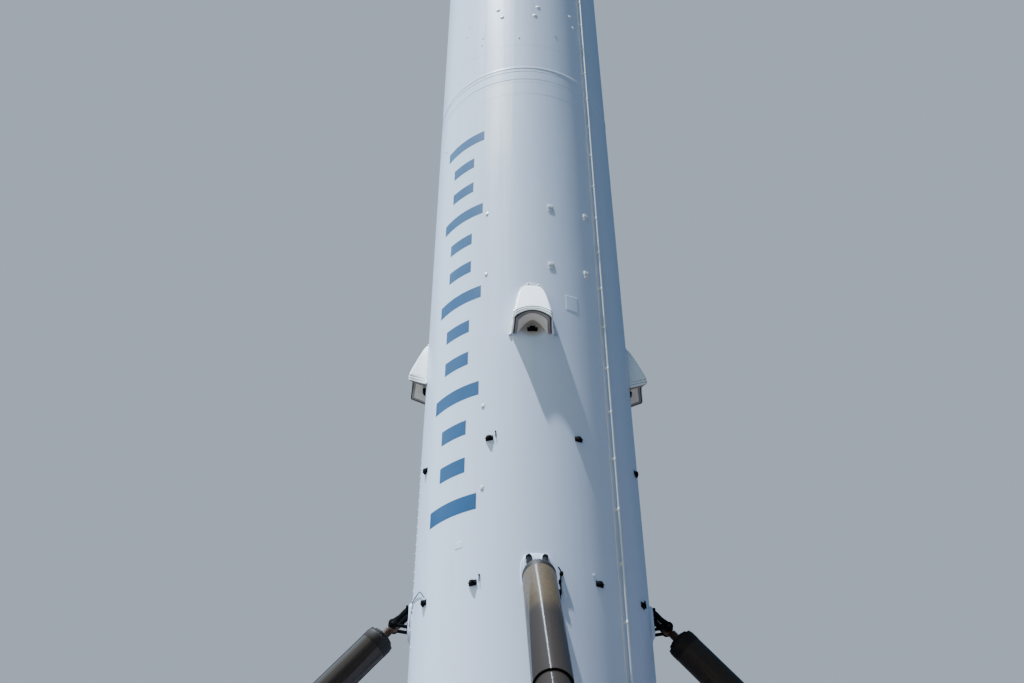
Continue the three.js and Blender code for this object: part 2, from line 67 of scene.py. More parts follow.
# read from the frame, in metres; azimuth 0 is the front leg's side (-Y) and grows towards +X
tankLow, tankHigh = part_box("fuel_tank")
skinRadius = tankHigh.x
legSides = {"front": 0, "right": 90, "rear": 180, "left": 270}
seat = 0.0003  # gap between pieces that touch


# modelling helpers: a new piece starts with nothing else selected

def xyz(x, y, z):
    return Vector((x, y, z))


def moved(x, y, z):
    return Matrix.Translation((x, y, z))


def spun(angle, axis):
    return Matrix.Rotation(radians(angle), 4, axis)


def begin():
    bpy.ops.object.select_all(action="DESELECT")


def only(piece):
    begin()
    piece.select_set(True)
    bpy.context.view_layer.objects.active = piece


def settled(piece):
    only(piece)
    bpy.ops.object.transform_apply(location=True, rotation=True, scale=True)
    return piece


def placed(piece, matrix):
    piece.matrix_world = matrix @ piece.matrix_world
    return settled(piece)


def editMode():
    bpy.ops.object.mode_set(mode="EDIT")
    bpy.ops.mesh.select_all(action="SELECT")


def objectMode():
    bpy.ops.object.mode_set(mode="OBJECT")


def applied(piece, kind, **settings):
    only(piece)
    modifier = piece.modifiers.new(kind.title(), kind)
    for name, value in settings.items():
        setattr(modifier, name, value)
    bpy.ops.object.modifier_apply(modifier=modifier.name)
    return piece


def smooth(piece, angle=35):
    only(piece)
    bpy.ops.object.shade_smooth_by_angle(angle=radians(angle))
    return piece


def bevelled(piece, width):
    return applied(piece, "BEVEL", width=width, segments=2, limit_method="ANGLE", angle_limit=radians(40))


def block(low, high, bevel, segments=2):
    begin()
    low, high = Vector(low), Vector(high)
    bpy.ops.mesh.primitive_cube_add(size=1, location=(low + high) / 2)
    piece = bpy.context.object
    piece.scale = high - low
    settled(piece)
    editMode()
    bpy.ops.mesh.bevel(offset=bevel, segments=segments, affect="EDGES")
    objectMode()
    return piece


def rod(start, end, radius, sides=24, bevel=0.0):
    begin()
    start, end = Vector(start), Vector(end)
    run = end - start
    bpy.ops.mesh.primitive_cylinder_add(
        vertices=sides, radius=radius, depth=run.length, location=(start + end) / 2,
        rotation=run.to_track_quat("Z", "Y").to_euler())
    piece = settled(bpy.context.object)
    if bevel:
        editMode()
        bpy.ops.mesh.select_mode(type="FACE")
        bpy.ops.mesh.select_all(action="DESELECT")
        bpy.ops.mesh.select_face_by_sides(number=4, type="GREATER")
        bpy.ops.mesh.bevel(offset=bevel, segments=2, affect="EDGES")
        objectMode()
    return piece


def netted(rows, filled=False):
    # a grid whose vertices are put at the rows of points and merged where they meet
    begin()
    bpy.ops.mesh.primitive_grid_add(x_subdivisions=len(rows[0]) - 1, y_subdivisions=len(rows) - 1)
    piece = bpy.context.object
    for vertex, point in zip(piece.data.vertices, [point for row in rows for point in row]):
        vertex.co = point
    editMode()
    bpy.ops.mesh.remove_doubles(threshold=1e-5)
    if filled:
        bpy.ops.mesh.fill_holes(sides=0)
    bpy.ops.mesh.select_all(action="SELECT")
    bpy.ops.mesh.normals_make_consistent(inside=False)
    objectMode()
    return piece


def closed(points):
    return points + points[:1]


def lofted(rings):
    # a tube through the rings, with its ends filled
    return netted([closed(ring) for ring in rings], True)


def sheet(rows, thickness):
    # an open skin through rows of points, thickened
    return applied(netted(rows), "SOLIDIFY", thickness=thickness, offset=0)


def turned(profile, steps, axis=None):
    # a profile of (radius, height) points turned about Z, or about the axis that a matrix gives
    angles = [2 * pi * step / steps for step in range(steps)]
    piece = netted([[xyz(r * sin(a), -r * cos(a), z) for r, z in profile] for a in closed(angles)])
    return placed(piece, axis) if axis else piece


# ways to lay an outline's two numbers and a depth in space, all at azimuth 0
def sideLay(point, depth):
    return xyz(depth, -point[0], point[1])


def frontLay(point, depth):
    return xyz(point[0], -depth, point[1])


def flatLay(point, depth):
    return xyz(point[0], -point[1], depth)


def legLay(point, depth):
    return xyz(point[0], depth, point[1])


def slab(outline, lay, low, high, bevel=0.0):
    piece = lofted([[lay(point, depth) for point in outline] for depth in (low, high)])
    return bevelled(piece, bevel) if bevel else piece


def piped(route, radius, sides=8):
    rings = []
    last = len(route) - 1
    side = (route[1] - route[0]).normalized().orthogonal()
    for index, point in enumerate(route):
        along = (route[min(index + 1, last)] - route[max(index - 1, 0)]).normalized()
        side = (side - along * side.dot(along)).normalized()
        other = along.cross(side)
        rings.append([point + (side * cos(a) + other * sin(a)) * radius
                      for a in (2 * pi * k / sides for k in range(sides))])
    return lofted(rings)


def curved(points, steps=6):
    # a smooth route through the points
    route = []
    for index in range(len(points) - 1):
        before, start = points[max(index - 1, 0)], points[index]
        end, after = points[index + 1], points[min(index + 2, len(points) - 1)]
        for t in (step / steps for step in range(steps)):
            route.append(0.5 * (
                2 * start + (end - before) * t + (2 * before - 5 * start + 4 * end - after) * t ** 2
                + (3 * start - before - 3 * end + after) * t ** 3))
    return route + [points[-1]]


def joined(pieces):
    begin()
    for piece in pieces:
        piece.select_set(True)
    bpy.context.view_layer.objects.active = pieces[0]
    if len(pieces) > 1:
        bpy.ops.object.join()
    return settled(bpy.context.object)


def copied(piece, place):
    # a copy with its own mesh
    only(piece)
    bpy.ops.object.duplicate(linked=False)
    return placed(bpy.context.object, place)


def removed(*pieces):
    for piece in pieces:
        bpy.data.objects.remove(piece)


def repeated(piece, placements):
    # one mesh that holds the piece at every placement
    whole = bmesh.new()
    for placement in placements:
        mesh = piece.data.copy()
        mesh.transform(placement)
        whole.from_mesh(mesh)
        bpy.data.meshes.remove(mesh)
    whole.to_mesh(piece.data)
    whole.free()
    return piece


def spot(azimuth, height, out=0.0):
    # where a fitting goes that was modelled at the origin, outwards along -Y
    return spun(azimuth, "Z") @ moved(0, -skinRadius - out, height)


def onSkin(azimuth, height, out=0.0):
    return spot(azimuth, height, out).to_translation()


def wrapped(piece, azimuth, height):
    # bends a piece that was modelled flat, outwards along -Y, onto the skin
    for vertex in piece.data.vertices:
        x, y, z = vertex.co
        angle = radians(azimuth) + x / skinRadius
        reach = skinRadius - y
        vertex.co = (reach * sin(angle), -reach * cos(angle), height + z)
    piece.data.update()
    return piece


def skinPatch(azimuths, heights, rise, sink=0.004, steps=12):
    # a curved plate on the skin
    (left, right), (low, high) = azimuths, heights
    section = ((low, -sink), (low, rise), (high, rise), (high, -sink))
    return lofted([
        [onSkin(left + (right - left) * step / steps, height, out) for height, out in section]
        for step in range(steps + 1)])


def boltHead(radius, height, sides=8):
    # a low dome that stands outwards along -Y
    outline = [(radius * cos(2 * pi * k / sides), radius * sin(2 * pi * k / sides)) for k in range(sides)]
    return slab(outline, frontLay, -0.001, height, min(radius, height) * 0.4)


def finished(piece, name, finish, body="stage", replaces=()):
    piece.name = name
    piece.data.name = name
    piece.data.materials.clear()
    piece.data.materials.append(finishes[finish])
    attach(piece, body)
    if replaces:
        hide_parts(*replaces)
    return piece


def onEachSide(piece, name, finish, body="stage", node=None):
    # one copy for each leg's side; body and node may hold the side's name
    for side, azimuth in legSides.items():
        finished(copied(piece, spun(azimuth, "Z")), f"{name}_{side}", finish, body.format(side),
                 [node.format(side)] if node else ())
    removed(piece)


# shader maths: a Wire is a socket that takes part in Python expressions

class Wire:
    def __init__(self, finish, socket):
        self.finish = finish
        self.socket = socket

    def maths(self, operation, first, second):
        return self.finish.node("ShaderNodeMath", {"operation": operation}, {0: first, 1: second})

    def __add__(self, other):
        return self.maths("ADD", self, other)

    def __sub__(self, other):
        return self.maths("SUBTRACT", self, other)

    def __rsub__(self, other):
        return self.maths("SUBTRACT", other, self)

    def __mul__(self, other):
        return self.maths("MULTIPLY", self, other)

    def __mod__(self, other):
        return self.maths("FLOORED_MODULO", self, other)

    __radd__ = __add__
    __rmul__ = __mul__


class Finish:
    def __init__(self, name, **fixed):
        self.material = bpy.data.materials.new(name)
        self.material.use_nodes = True
        self.tree = self.material.node_tree
        self.shader = self.tree.nodes["Principled BSDF"]
        for socket, value in fixed.items():
            self.shader.inputs[socket.replace("_", " ")].default_value = value

    def node(self, kind, settings=None, sockets=None, output=0):
        made = self.tree.nodes.new(kind)
        for name, value in (settings or {}).items():
            setattr(made, name, value)
        for name, value in (sockets or {}).items():
            if isinstance(value, Wire):
                self.tree.links.new(value.socket, made.inputs[name])
            else:
                made.inputs[name].default_value = value
        return Wire(self, made.outputs[output])

    def place(self):
        return self.node("ShaderNodeTexCoord", output=3)

    def parts(self, vector):
        split = self.tree.nodes.new("ShaderNodeSeparateXYZ")
        self.tree.links.new(vector.socket, split.inputs[0])
        return [Wire(self, socket) for socket in split.outputs]

    def stretched(self, vector, scale):
        return self.node("ShaderNodeVectorMath", {"operation": "MULTIPLY"}, {0: vector, 1: scale})

    def noise(self, vector, scale, detail=3.0, roughness=0.5):
        return self.node("ShaderNodeTexNoise", {}, {
            "Vector": vector, "Scale": scale, "Detail": detail, "Roughness": roughness})

    def span(self, value, low, high, start=0.0, end=1.0):
        return self.node("ShaderNodeMapRange", {"interpolation_type": "SMOOTHSTEP"}, {
            "Value": value, "From Min": low, "From Max": high, "To Min": start, "To Max": end})

    def azimuth(self, x, y):
        # degrees from the front towards the right
        return self.node("ShaderNodeMath", {"operation": "ARCTAN2"}, {0: x, 1: 0.0 - y}) * degrees(1)

    def mixed(self, share, first, second):
        first, second = (tone if isinstance(tone, Wire) else (*tone, 1) for tone in (first, second))
        return self.node("ShaderNodeMix", {"data_type": "RGBA"}, {0: share, 6: first, 7: second}, 2)

    def bumped(self, height, distance, strength=1.0, under=None):
        sockets = {"Height": height, "Distance": distance, "Strength": strength}
        if under:
            sockets["Normal"] = under
        return self.node("ShaderNodeBump", {}, sockets)

    def feed(self, **wires):
        for socket, wire in wires.items():
            self.tree.links.new(wire.socket, self.shader.inputs[socket.replace("_", " ")])
        return self.material


# camera and light

viewpoint = {
    "place": (-0.390, -7.367, 0.60),  # half of where the photographer stood, above the floor
    "heading": 1.95,  # degrees to the right of the front leg's line
    "pitch": 38.39,
    "roll": -0.15,
    "lens": 35.16,
    "sensor": 36.0,
    "farthest": 2000,
}


def makeCamera():
    begin()
    bpy.ops.object.camera_add(location=viewpoint["place"])
    camera = bpy.context.object
    camera.name = "camera"
    heading, pitch, roll = (viewpoint[name] for name in ("heading", "pitch", "roll"))
    aim = spun(-heading, "Z") @ spun(90 + pitch, "X") @ spun(roll, "Z")
    camera.rotation_euler = aim.to_euler()
    camera.data.lens = viewpoint["lens"]
    camera.data.sensor_width = viewpoint["sensor"]
    camera.data.clip_end = viewpoint["farthest"]
    bpy.context.scene.camera = camera


studio = {
    # one hard light and two broad soft ones: where from, strength, spread in degrees, colour
    "lights": {
        "keyLight": ((-0.271, -0.169, 1.0), 10.8, 1.0, (0.755, 0.875, 1.0)),
        "softFront": ((-0.64, -0.64, 0.42), 0.80, 60.0, (0.86, 1.0, 0.80)),
        "softLeft": ((-0.76, 0.07, 0.64), 1.90, 50.0, (0.62, 0.85, 1.0)),
    },
    "lightsOut": 12.0,
    "fill": (0.065, 0.159, 0.285),  # cool light from all round
    "backdrop": (0.40, 0.47, 0.56),  # what the camera sees behind the stage
    "floor": (0.40, 0.40, 0.395),
    "floorMottle": 0.96,
    "floorNear": (0.170, 0.130, 0.125),  # what the floor throws back, within the first metres
    "floorFar": (0.055, 0.052, 0.050),  # farther out: a pale floor would wash the shade side out
    "floorReach": (4.5, 8.5),
    "floorHalf": 400.0,
    "floorDrop": 0.0005,
}


def makeLights():
    for name, (source, strength, spread, colour) in studio["lights"].items():
        begin()
        bpy.ops.object.light_add(type="SUN", location=Vector(source) * studio["lightsOut"])
        lamp = bpy.context.object
        lamp.name = name
        lamp.rotation_euler = Vector(source).to_track_quat("Z", "Y").to_euler()
        lamp.data.energy = strength
        lamp.data.angle = radians(spread)
        lamp.data.color = colour
    world = bpy.data.worlds.new("studioAir")
    bpy.context.scene.world = world
    world.use_nodes = True
    nodes, link = world.node_tree.nodes, world.node_tree.links.new
    fill = nodes["Background"]
    fill.inputs["Color"].default_value = (*studio["fill"], 1)
    backdrop = nodes.new("ShaderNodeBackground")
    backdrop.inputs["Color"].default_value = (*studio["backdrop"], 1)
    either = nodes.new("ShaderNodeMixShader")
    link(nodes.new("ShaderNodeLightPath").outputs["Is Camera Ray"], either.inputs[0])
    link(fill.outputs[0], either.inputs[1])
    link(backdrop.outputs[0], either.inputs[2])
    link(either.outputs[0], nodes["World Output"].inputs["Surface"])


def makeFloor():
    begin()
    bpy.ops.mesh.primitive_plane_add(size=2 * studio["floorHalf"], location=(0, 0, -studio["floorDrop"]))
    floor = settled(bpy.context.object)
    floor.name = "studioFloor"
    finish = Finish("paleFloor", Roughness=0.85)
    place = finish.place()
    mottle = finish.span(finish.noise(place, 0.6, 4), 0.3, 0.7)
    pale = finish.mixed(mottle, studio["floor"], [tone * studio["floorMottle"] for tone in studio["floor"]])
    seen = finish.node("ShaderNodeLightPath")
    away = finish.node("ShaderNodeVectorMath", {"operation": "LENGTH"}, {0: place}, 1)
    bounce = finish.mixed(finish.span(away, *studio["floorReach"]), studio["floorNear"],
                          studio["floorFar"])
    floor.data.materials.append(finish.feed(Base_Color=finish.mixed(seen, bounce, pale)))


makeCamera()
makeLights()
makeFloor()
print("camera and light made")


# finishes

whites = {
    # stretch, where they start and end, and their share
    "streaks": ((7.0, 7.0, 0.16), (0.50, 0.78), 0.6),
    "fine": ((30.0, 30.0, 0.5), (0.55, 0.80), 0.4),
    "soil": (0.58, 0.58, 0.56),
    "repaintGlintTone": (0.93, 0.92, 0.90),  # a lighter stretch under the tanks' joint: a repaint, with painted highlight for the sun's glint on it
    "repaintGlintLeft": (-30.0, -22.0), "repaintGlintRight": (-10.4, -10.0), "repaintGlintLow": (7.7, 8.5),
    "repaintGlintHigh": (9.16, 9.19),
    "underHoodTone": (0.46, 0.39, 0.30),  # a darker brownish patch on the skin inside each hood's opening
    "underHoodHigh": 5.885, "underHoodSize": (0.13, 0.12),
}


def whitePaint(name, tone=(0.73, 0.77, 0.92), dirt=0.45, gloss=0.36, patch=False, shine=0.3):
    finish = Finish(name, Coat_Weight=0.06, Coat_Roughness=0.2, Specular_IOR_Level=shine)
    place = finish.place()
    x, y, z = finish.parts(place)
    (stretch, start, share), (fineStretch, fineStart, fineShare) = whites["streaks"], whites["fine"]
    streaks = finish.noise(finish.stretched(place, stretch), 1.0, 5, 0.62)
    fine = finish.noise(finish.stretched(place, fineStretch), 1.0, 4, 0.6)
    blotch = finish.noise(place, 0.9, 4)
    grime = finish.span(streaks, *start) * share + finish.span(fine, *fineStart) * fineShare
    soiled = finish.mixed(grime * dirt * finish.span(blotch, 0.35, 0.65, 0.35, 1.0), tone, whites["soil"])
    if patch:
        # a repaint, with painted highlight: the lighter, warm stretch under the tanks' joint also stands in
        # for the sun's glint there
        around = finish.azimuth(x, y)
        repaintGlint = finish.span(around, *whites["repaintGlintRight"], 1.0, 0.0)
        repaintGlint = repaintGlint * finish.span(around, *whites["repaintGlintLeft"])
        repaintGlint = repaintGlint * finish.span(z, *whites["repaintGlintHigh"], 1.0, 0.0)
        repaintGlint = repaintGlint * finish.span(z, *whites["repaintGlintLow"])
        soiled = finish.mixed(repaintGlint * 0.85, soiled, whites["repaintGlintTone"])
        # a darker brownish patch on the skin inside each hood's opening, round its latch
        wide, high = whites["underHoodSize"]
        aside = ((around + 45.0) % 90.0 - 45.0) * (radians(skinRadius) / wide)
        below = (z - whites["underHoodHigh"]) * (1 / high)
        underHoodPatch = finish.span(aside * aside + below * below, 0.25, 1.25, 1.0, 0.0)
        soiled = finish.mixed(underHoodPatch * 0.9, soiled, whites["underHoodTone"])
    wave = finish.noise(finish.stretched(place, (1.6, 1.6, 0.7)), 1.0, 2)
    peel = finish.noise(place, 90.0, 2)
    return finish.feed(
        Base_Color=soiled,
        Roughness=finish.span(fine + streaks, 0.7, 1.3, gloss - 0.05, gloss + 0.12),
        Normal=finish.bumped(peel, 0.0004, 0.25, finish.bumped(wave, 0.02, 0.25)))


def plainPaint(name, tone, wear, amount=0.4, rough=0.5, metal=0.0, scale=25.0, shine=0.5):
    # one colour that wears towards another in clouds
    finish = Finish(name, Metallic=metal, Specular_IOR_Level=shine)
    place = finish.place()
    cloud = finish.noise(place, scale, 4, 0.6)
    large = finish.noise(place, scale / 6, 3)
    return finish.feed(
        Base_Color=finish.mixed(finish.span(cloud + large, 1.0, 1.3) * amount, tone, wear),
        Roughness=finish.span(large, 0.3, 0.7, rough - 0.08, rough + 0.1),
        Normal=finish.bumped(cloud, 0.0008, 0.3))


def woundComposite(name):
    # clear-coated filament winding, bronze near the top of the struts; painted shade keeps the side struts
    # dark there
    finish = Finish(name, Coat_Weight=0.36, Coat_Roughness=0.085, Specular_IOR_Level=0.03)
    place = finish.place()
    x, y, z = finish.parts(place)
    patch = finish.noise(finish.stretched(place, (4.0, 4.0, 1.6)), 1.0, 4, 0.6)
    bronzeAndSideShade = finish.span(z + patch * 0.35 + x * 0.4, 3.19, 3.44)
    # painted shade: the bronze fades out on the side struts, which stood in shade, though all four struts
    # carry it
    bronzeAndSideShade = bronzeAndSideShade * finish.span(x * x, 0.15, 0.45, 1.0, 0.12)
    strand = finish.noise(finish.stretched(place, (70.0, 70.0, 9.0)), 1.0, 4, 0.65)
    speck = finish.span(finish.noise(place, 60.0, 3), 0.52, 0.7)
    dark = finish.mixed(strand, (0.0225, 0.0158, 0.0125), (0.041, 0.0292, 0.0228))
    bronze = finish.mixed(strand, (0.055, 0.036, 0.021), (0.128, 0.088, 0.048))
    speckled = finish.mixed(speck * 0.5, bronze, (0.030, 0.022, 0.015))
    return finish.feed(
        Base_Color=finish.mixed(bronzeAndSideShade, dark, speckled),
        Roughness=finish.span(strand, 0.2, 0.8, 0.50, 0.62),
        Normal=finish.bumped(strand, 0.0006, 0.2))


def ribbedComposite(name):
    # woven dark sheet inside the legs, with dust in the corners
    finish = Finish(name, Coat_Weight=0.2, Coat_Roughness=0.3)
    place = finish.place()
    weave = finish.node("ShaderNodeTexWave", {"bands_direction": "DIAGONAL"}, {
        "Vector": place, "Scale": 45.0, "Distortion": 1.5, "Detail": 2.0})
    dust = finish.span(finish.noise(place, 3.0, 5, 0.65), 0.48, 0.75)
    tone = finish.mixed(weave, (0.030, 0.031, 0.034), (0.050, 0.050, 0.052))
    return finish.feed(
        Base_Color=finish.mixed(dust * 0.5, tone, (0.14, 0.13, 0.115)),
        Roughness=finish.span(dust, 0.0, 1.0, 0.38, 0.62),
        Normal=finish.bumped(weave, 0.0006, 0.4))


def heatTinted(name):
    # nozzle metal: straw and blue bands near the lip, soot above
    finish = Finish(name, Metallic=0.9)
    place = finish.place()
    cloud = finish.noise(place, 9.0, 4, 0.6)
    height = finish.parts(place)[2] + cloud * 0.12
    straw = finish.span(height, 1.02, 1.14, 1.0, 0.0) * 0.7
    blue = finish.span(height, 1.06, 1.14) * finish.span(height, 1.16, 1.24, 1.0, 0.0) * 0.5
    base = finish.mixed(cloud, (0.20, 0.185, 0.17), (0.34, 0.31, 0.29))
    tinted = finish.mixed(blue, finish.mixed(straw, base, (0.36, 0.24, 0.13)), (0.14, 0.16, 0.26))
    soot = finish.span(finish.noise(finish.stretched(place, (14.0, 14.0, 3.0)), 1.0, 5, 0.65), 0.5, 0.75)
    return finish.feed(
        Base_Color=finish.mixed(soot * 0.7, tinted, (0.035, 0.032, 0.03)),
        Roughness=finish.span(soot, 0.0, 1.0, 0.30, 0.62),
        Normal=finish.bumped(cloud, 0.002, 0.2))


def quiltedBoot(name):
    finish = Finish(name, Sheen_Weight=0.3)
    place = finish.place()
    weave = finish.noise(place, 120.0, 2)
    crease = finish.noise(finish.stretched(place, (9.0, 9.0, 22.0)), 1.0, 4, 0.6)
    soot = finish.span(finish.noise(place, 5.0, 4), 0.42, 0.68)
    return finish.feed(
        Base_Color=finish.mixed(soot, (0.30, 0.28, 0.25), (0.07, 0.065, 0.06)),
        Roughness=finish.span(weave, 0.2, 0.8, 0.78, 0.95),
        Normal=finish.bumped(weave, 0.0008, 0.5, finish.bumped(crease, 0.006, 0.5)))


def burntShield(name):
    # sheet over the base: scorched round the nozzles
    finish = Finish(name)
    place = finish.place()
    scorch = finish.span(finish.noise(place, 2.2, 5, 0.62), 0.38, 0.68)
    grain = finish.noise(place, 70.0, 3)
    tone = finish.mixed(scorch, (0.20, 0.185, 0.165), (0.06, 0.056, 0.052))
    return finish.feed(
        Base_Color=finish.mixed(grain * 0.4, tone, (0.26, 0.24, 0.21)),
        Roughness=finish.span(grain, 0.2, 0.8, 0.72, 0.92),
        Normal=finish.bumped(grain, 0.001, 0.4))


finishes = {
    "tankPaint": whitePaint("tankPaint", patch=True),
    "hoodPaint": whitePaint("hoodPaint", (0.97, 0.97, 0.975), 0.05, 0.5, shine=1.0),
    "fittingPaint": whitePaint("fittingPaint", (0.82, 0.82, 0.82), 0.35),
    "windingComposite": woundComposite("windingComposite"),
    "legComposite": ribbedComposite("legComposite"),
    "bootCloth": quiltedBoot("bootCloth"),
    "bellMetal": heatTinted("bellMetal"),
    "baseShield": burntShield("baseShield"),
}
plainFinishes = {
    # colour, worn colour, share worn, roughness, metal, scale of the clouds, shine
    # painted shade: a black band standing in for the shadow gap between each hood's lip and its grey seal
    "rimRubber": ((0.030, 0.029, 0.030), (0.10, 0.09, 0.08), 0.4, 0.65, 0.0, 25.0, 0.2),
    "rimSeal": ((0.33, 0.305, 0.295), (0.20, 0.175, 0.155), 0.5, 0.65, 0.0, 25.0, 0.2),
    "backPaint": ((0.52, 0.47, 0.40), (0.30, 0.26, 0.21), 0.5, 0.7, 0.0, 12.0),
    "platePaint": ((0.92, 0.86, 0.78), (0.62, 0.56, 0.48), 0.4, 0.6, 0.0, 12.0),
    "blackPaint": ((0.004, 0.004, 0.005), (0.02, 0.018, 0.016), 0.4, 0.7, 0.0, 40.0, 0.05),
    "capComposite": ((0.018, 0.015, 0.014), (0.045, 0.030, 0.023), 0.5, 0.5, 0.0, 14.0, 0.12),
    "markingBlue": ((0.0, 0.066, 0.19), (0.0, 0.090, 0.23), 0.3, 0.45, 0.0, 9.0, 0.3),
    "zinc": ((0.62, 0.63, 0.64), (0.40, 0.39, 0.36), 0.4, 0.32, 0.9, 60.0),
    "rustySteel": ((0.085, 0.036, 0.018), (0.17, 0.085, 0.045), 0.7, 0.6, 0.2, 60.0),
    "castAlloy": ((0.55, 0.56, 0.57), (0.30, 0.29, 0.28), 0.5, 0.38, 0.9, 22.0),
    "footMetal": ((0.50, 0.50, 0.50), (0.24, 0.22, 0.20), 0.8, 0.5, 0.8, 16.0),
}
for name, look in plainFinishes.items():
    finishes[name] = plainPaint(name, *look)
print("finishes made")


# tank skins

joint = {
    "steps": 256, "edge": 0.001,
    "foot": (0.05, 0.03, 0.003),  # the fuel tank's lowest ring: above its foot, half height and rise
    "hairline": ((8.965, 0), (8.966, 0), (8.968, 0.0004), (8.978, 0), (8.979, 0)),  # heights and rises
    "grooves": (9.205, 9.335), "grooveHalf": 0.005, "groove": 0.0025,
    "bead": ((9.391, 0), (9.395, 0.003), (9.427, 0), (9.428, 0)),
    "faintRings": (9.81, 12.1, 14.5, 16.9, 19.3), "faintHalf": 0.014, "faintRise": 0.0004,
    "domeSteps": 14, "domeInset": 0.02,
}


def onWall(places):
    # (height, rise) pairs as points of a profile
    return [(skinRadius + rise, height) for height, rise in places]


def ringSteps(height, half, rise):
    low, high, slope = height - half, height + half, abs(rise)
    return onWall(((low, 0), (low + slope, rise), (high - slope, rise), (high, 0)))


def makeTanks():
    edge, groove = joint["edge"], joint["groove"]
    low, high = tankLow.z, tankHigh.z
    above, half, rise = joint["foot"]
    fuel = [(0, low), (skinRadius - groove, low), (skinRadius, low + groove)]
    fuel += ringSteps(low + above, half, rise) + onWall(joint["hairline"])
    fuel += [(skinRadius, high - edge), (skinRadius - edge, high), (0, high)]
    upperLow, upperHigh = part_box("oxidizer_tank")
    base, shoulder = upperLow.z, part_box("interstage")[0].z - seat
    upper = [(0, base), (skinRadius - edge, base), (skinRadius, base + edge)]
    for height in joint["grooves"]:
        upper += ringSteps(height, joint["grooveHalf"], -groove)
    upper += onWall(joint["bead"])
    for height in joint["faintRings"]:
        upper += ringSteps(height, joint["faintHalf"], joint["faintRise"])
    upper.append((skinRadius, shoulder))
    for step in range(joint["domeSteps"]):
        angle = pi / 2 * step / joint["domeSteps"]
        upper.append(((skinRadius - joint["domeInset"]) * cos(angle),
                      shoulder + (upperHigh.z - shoulder) * sin(angle)))
    upper.append((0, upperHigh.z))
    for name, profile, node in (
            ("fuelTankSkin", fuel, "fuel_tank"), ("oxidizerTankSkin", upper, "oxidizer_tank")):
        finished(smooth(turned(profile, joint["steps"])), name, "tankPaint",
                 replaces=[node])


makeTanks()
print("tanks made")


# hoods over the folded legs' tips: the rim rises outwards by the tilt and in the middle by an arch

hood = {
    "half": 0.168, "taper": 0.40, "flare": 0.010, "depth": 0.164, "sideFull": 8.5, "faceFull": 1.25,
    "corner": 0.11, "cornerFrom": 0.3, "cornerTo": 0.5,
    "rim": 5.808, "tilt": 0.377, "top": 6.345,
    "wallArch": (0.093, 0.164, 2.1),  # rise, half width and fullness, at the outer wall
    "skinArch": (0.098, 0.126, 1.6),  # and where the plate meets the skin
    "levels": (0.995, 0.985, 0.97, 0.95, 0.92, 0.88, 0.83, 0.77, 0.70, 0.62, 0.54, 0.46, 0.38, 0.30, 0.23,
               0.17),
    "laps": ((0.104, 0.004), (0.048, 0.004)),  # where, and how far the lower part sits in
    "lip": 0.013, "gap": 0.003, "seal": 0.009, "band": 0.033, "bandHigh": 0.026, "pocket": 0.20,
    "slot": 0.60,  # share of the plate's depth that is solid in its middle
    "plateSteps": 8, "arcSteps": 48, "edgeSteps": 44, "inner": 0.885,
    "flange": 0.018, "boltPitch": 0.075, "footAside": 11.8,
}
hoodHigh = hood["top"] - hood["rim"]
hoodAngles = [pi * step / hood["arcSteps"] for step in range(hood["arcSteps"] + 1)]


def hoodShape(up):
    up = min(up, 1.0)
    return (hood["half"] * (1 - hood["taper"] * up) * sqrt(1 - up ** hood["sideFull"]),
            hood["depth"] * (1 - up ** hood["faceFull"]))


def arch(x, kind):
    rise, half, full = hood[kind]
    return rise * (1 - min(1, abs(x) / half) ** full)


def hoodSection(angle):
    # sideways and outwards, as shares, on a box with rounded outer corners
    share = 2 * angle / pi
    side, share = (-1, share) if share <= 1 else (1, 2 - share)
    corner, start, end = hood["corner"], hood["cornerFrom"], hood["cornerTo"]
    if share < start:
        return side, (1 - corner) * share / start
    if share < end:
        bend = pi / 2 * (share - start) / (end - start)
        return side * (1 - corner * (1 - cos(bend))), 1 - corner * (1 - sin(bend))
    return side * (1 - corner) * (1 - share) / (1 - end), 1.0


def hoodPoint(angle, up, inset=0.0, dent=0.0):
    # a place on the hood's skin: angle runs round the section, up from the rim to the top
    across, out = hoodSection(angle)
    half, depth = hoodShape(up)
    rise = arch(across * half, "wallArch") * out * (1 - up)
    half, depth = hoodShape(up + rise / hoodHigh)
    half += hood["flare"] * (1 - up) * (1 - out) ** 2 - inset - dent * out
    reach = (depth - inset - dent) * out
    return xyz(across * half, -skinRadius - reach,
               hood["rim"] + hoodHigh * up + hood["tilt"] * (1 - up) * reach + rise)


def hoodRing(up, inset, dent):
    # the section's arc, closed through the inside of the tank
    ring = [hoodPoint(angle, up, inset, dent) for angle in hoodAngles]
    first, last = (xyz(end.x, -hood["inner"], end.z) for end in (ring[0], ring[-1]))
    return [first, *ring, last]


def hoodStrip(*corners):
    # a strip round the section, its corners given as (up, inset, dent, lift)
    return lofted([[hoodPoint(angle, *corner) + xyz(0, 0, lift) for *corner, lift in corners]
                   for angle in hoodAngles])


def hoodPlates(inset):
    # the plate in the opening, cut away near the skin, and the one behind it
    plates = [], []
    steps = hood["plateSteps"]
    for step in range(steps + 1):
        rows = [], []
        for angle in hoodAngles:
            x = -hood["skinArch"][1] * cos(angle)
            outer = hoodPoint(angle, 0, inset) + xyz(0, 0, 0.010)
            inner = xyz(x, -skinRadius + 0.006, hood["rim"] + arch(x, "skinArch") + 0.004)
            solid = hood["slot"] + (1 - hood["slot"]) * abs(cos(angle)) ** 1.3
            behind = min(solid - 0.08, 0.90)
            rows[0].append(outer.lerp(inner, solid * step / steps))
            rows[1].append(outer.lerp(inner, behind + (1 - behind) * step / steps) + xyz(0, 0, 0.007))
        for plate, row in zip(plates, rows):
            plate.append(row)
    return plates


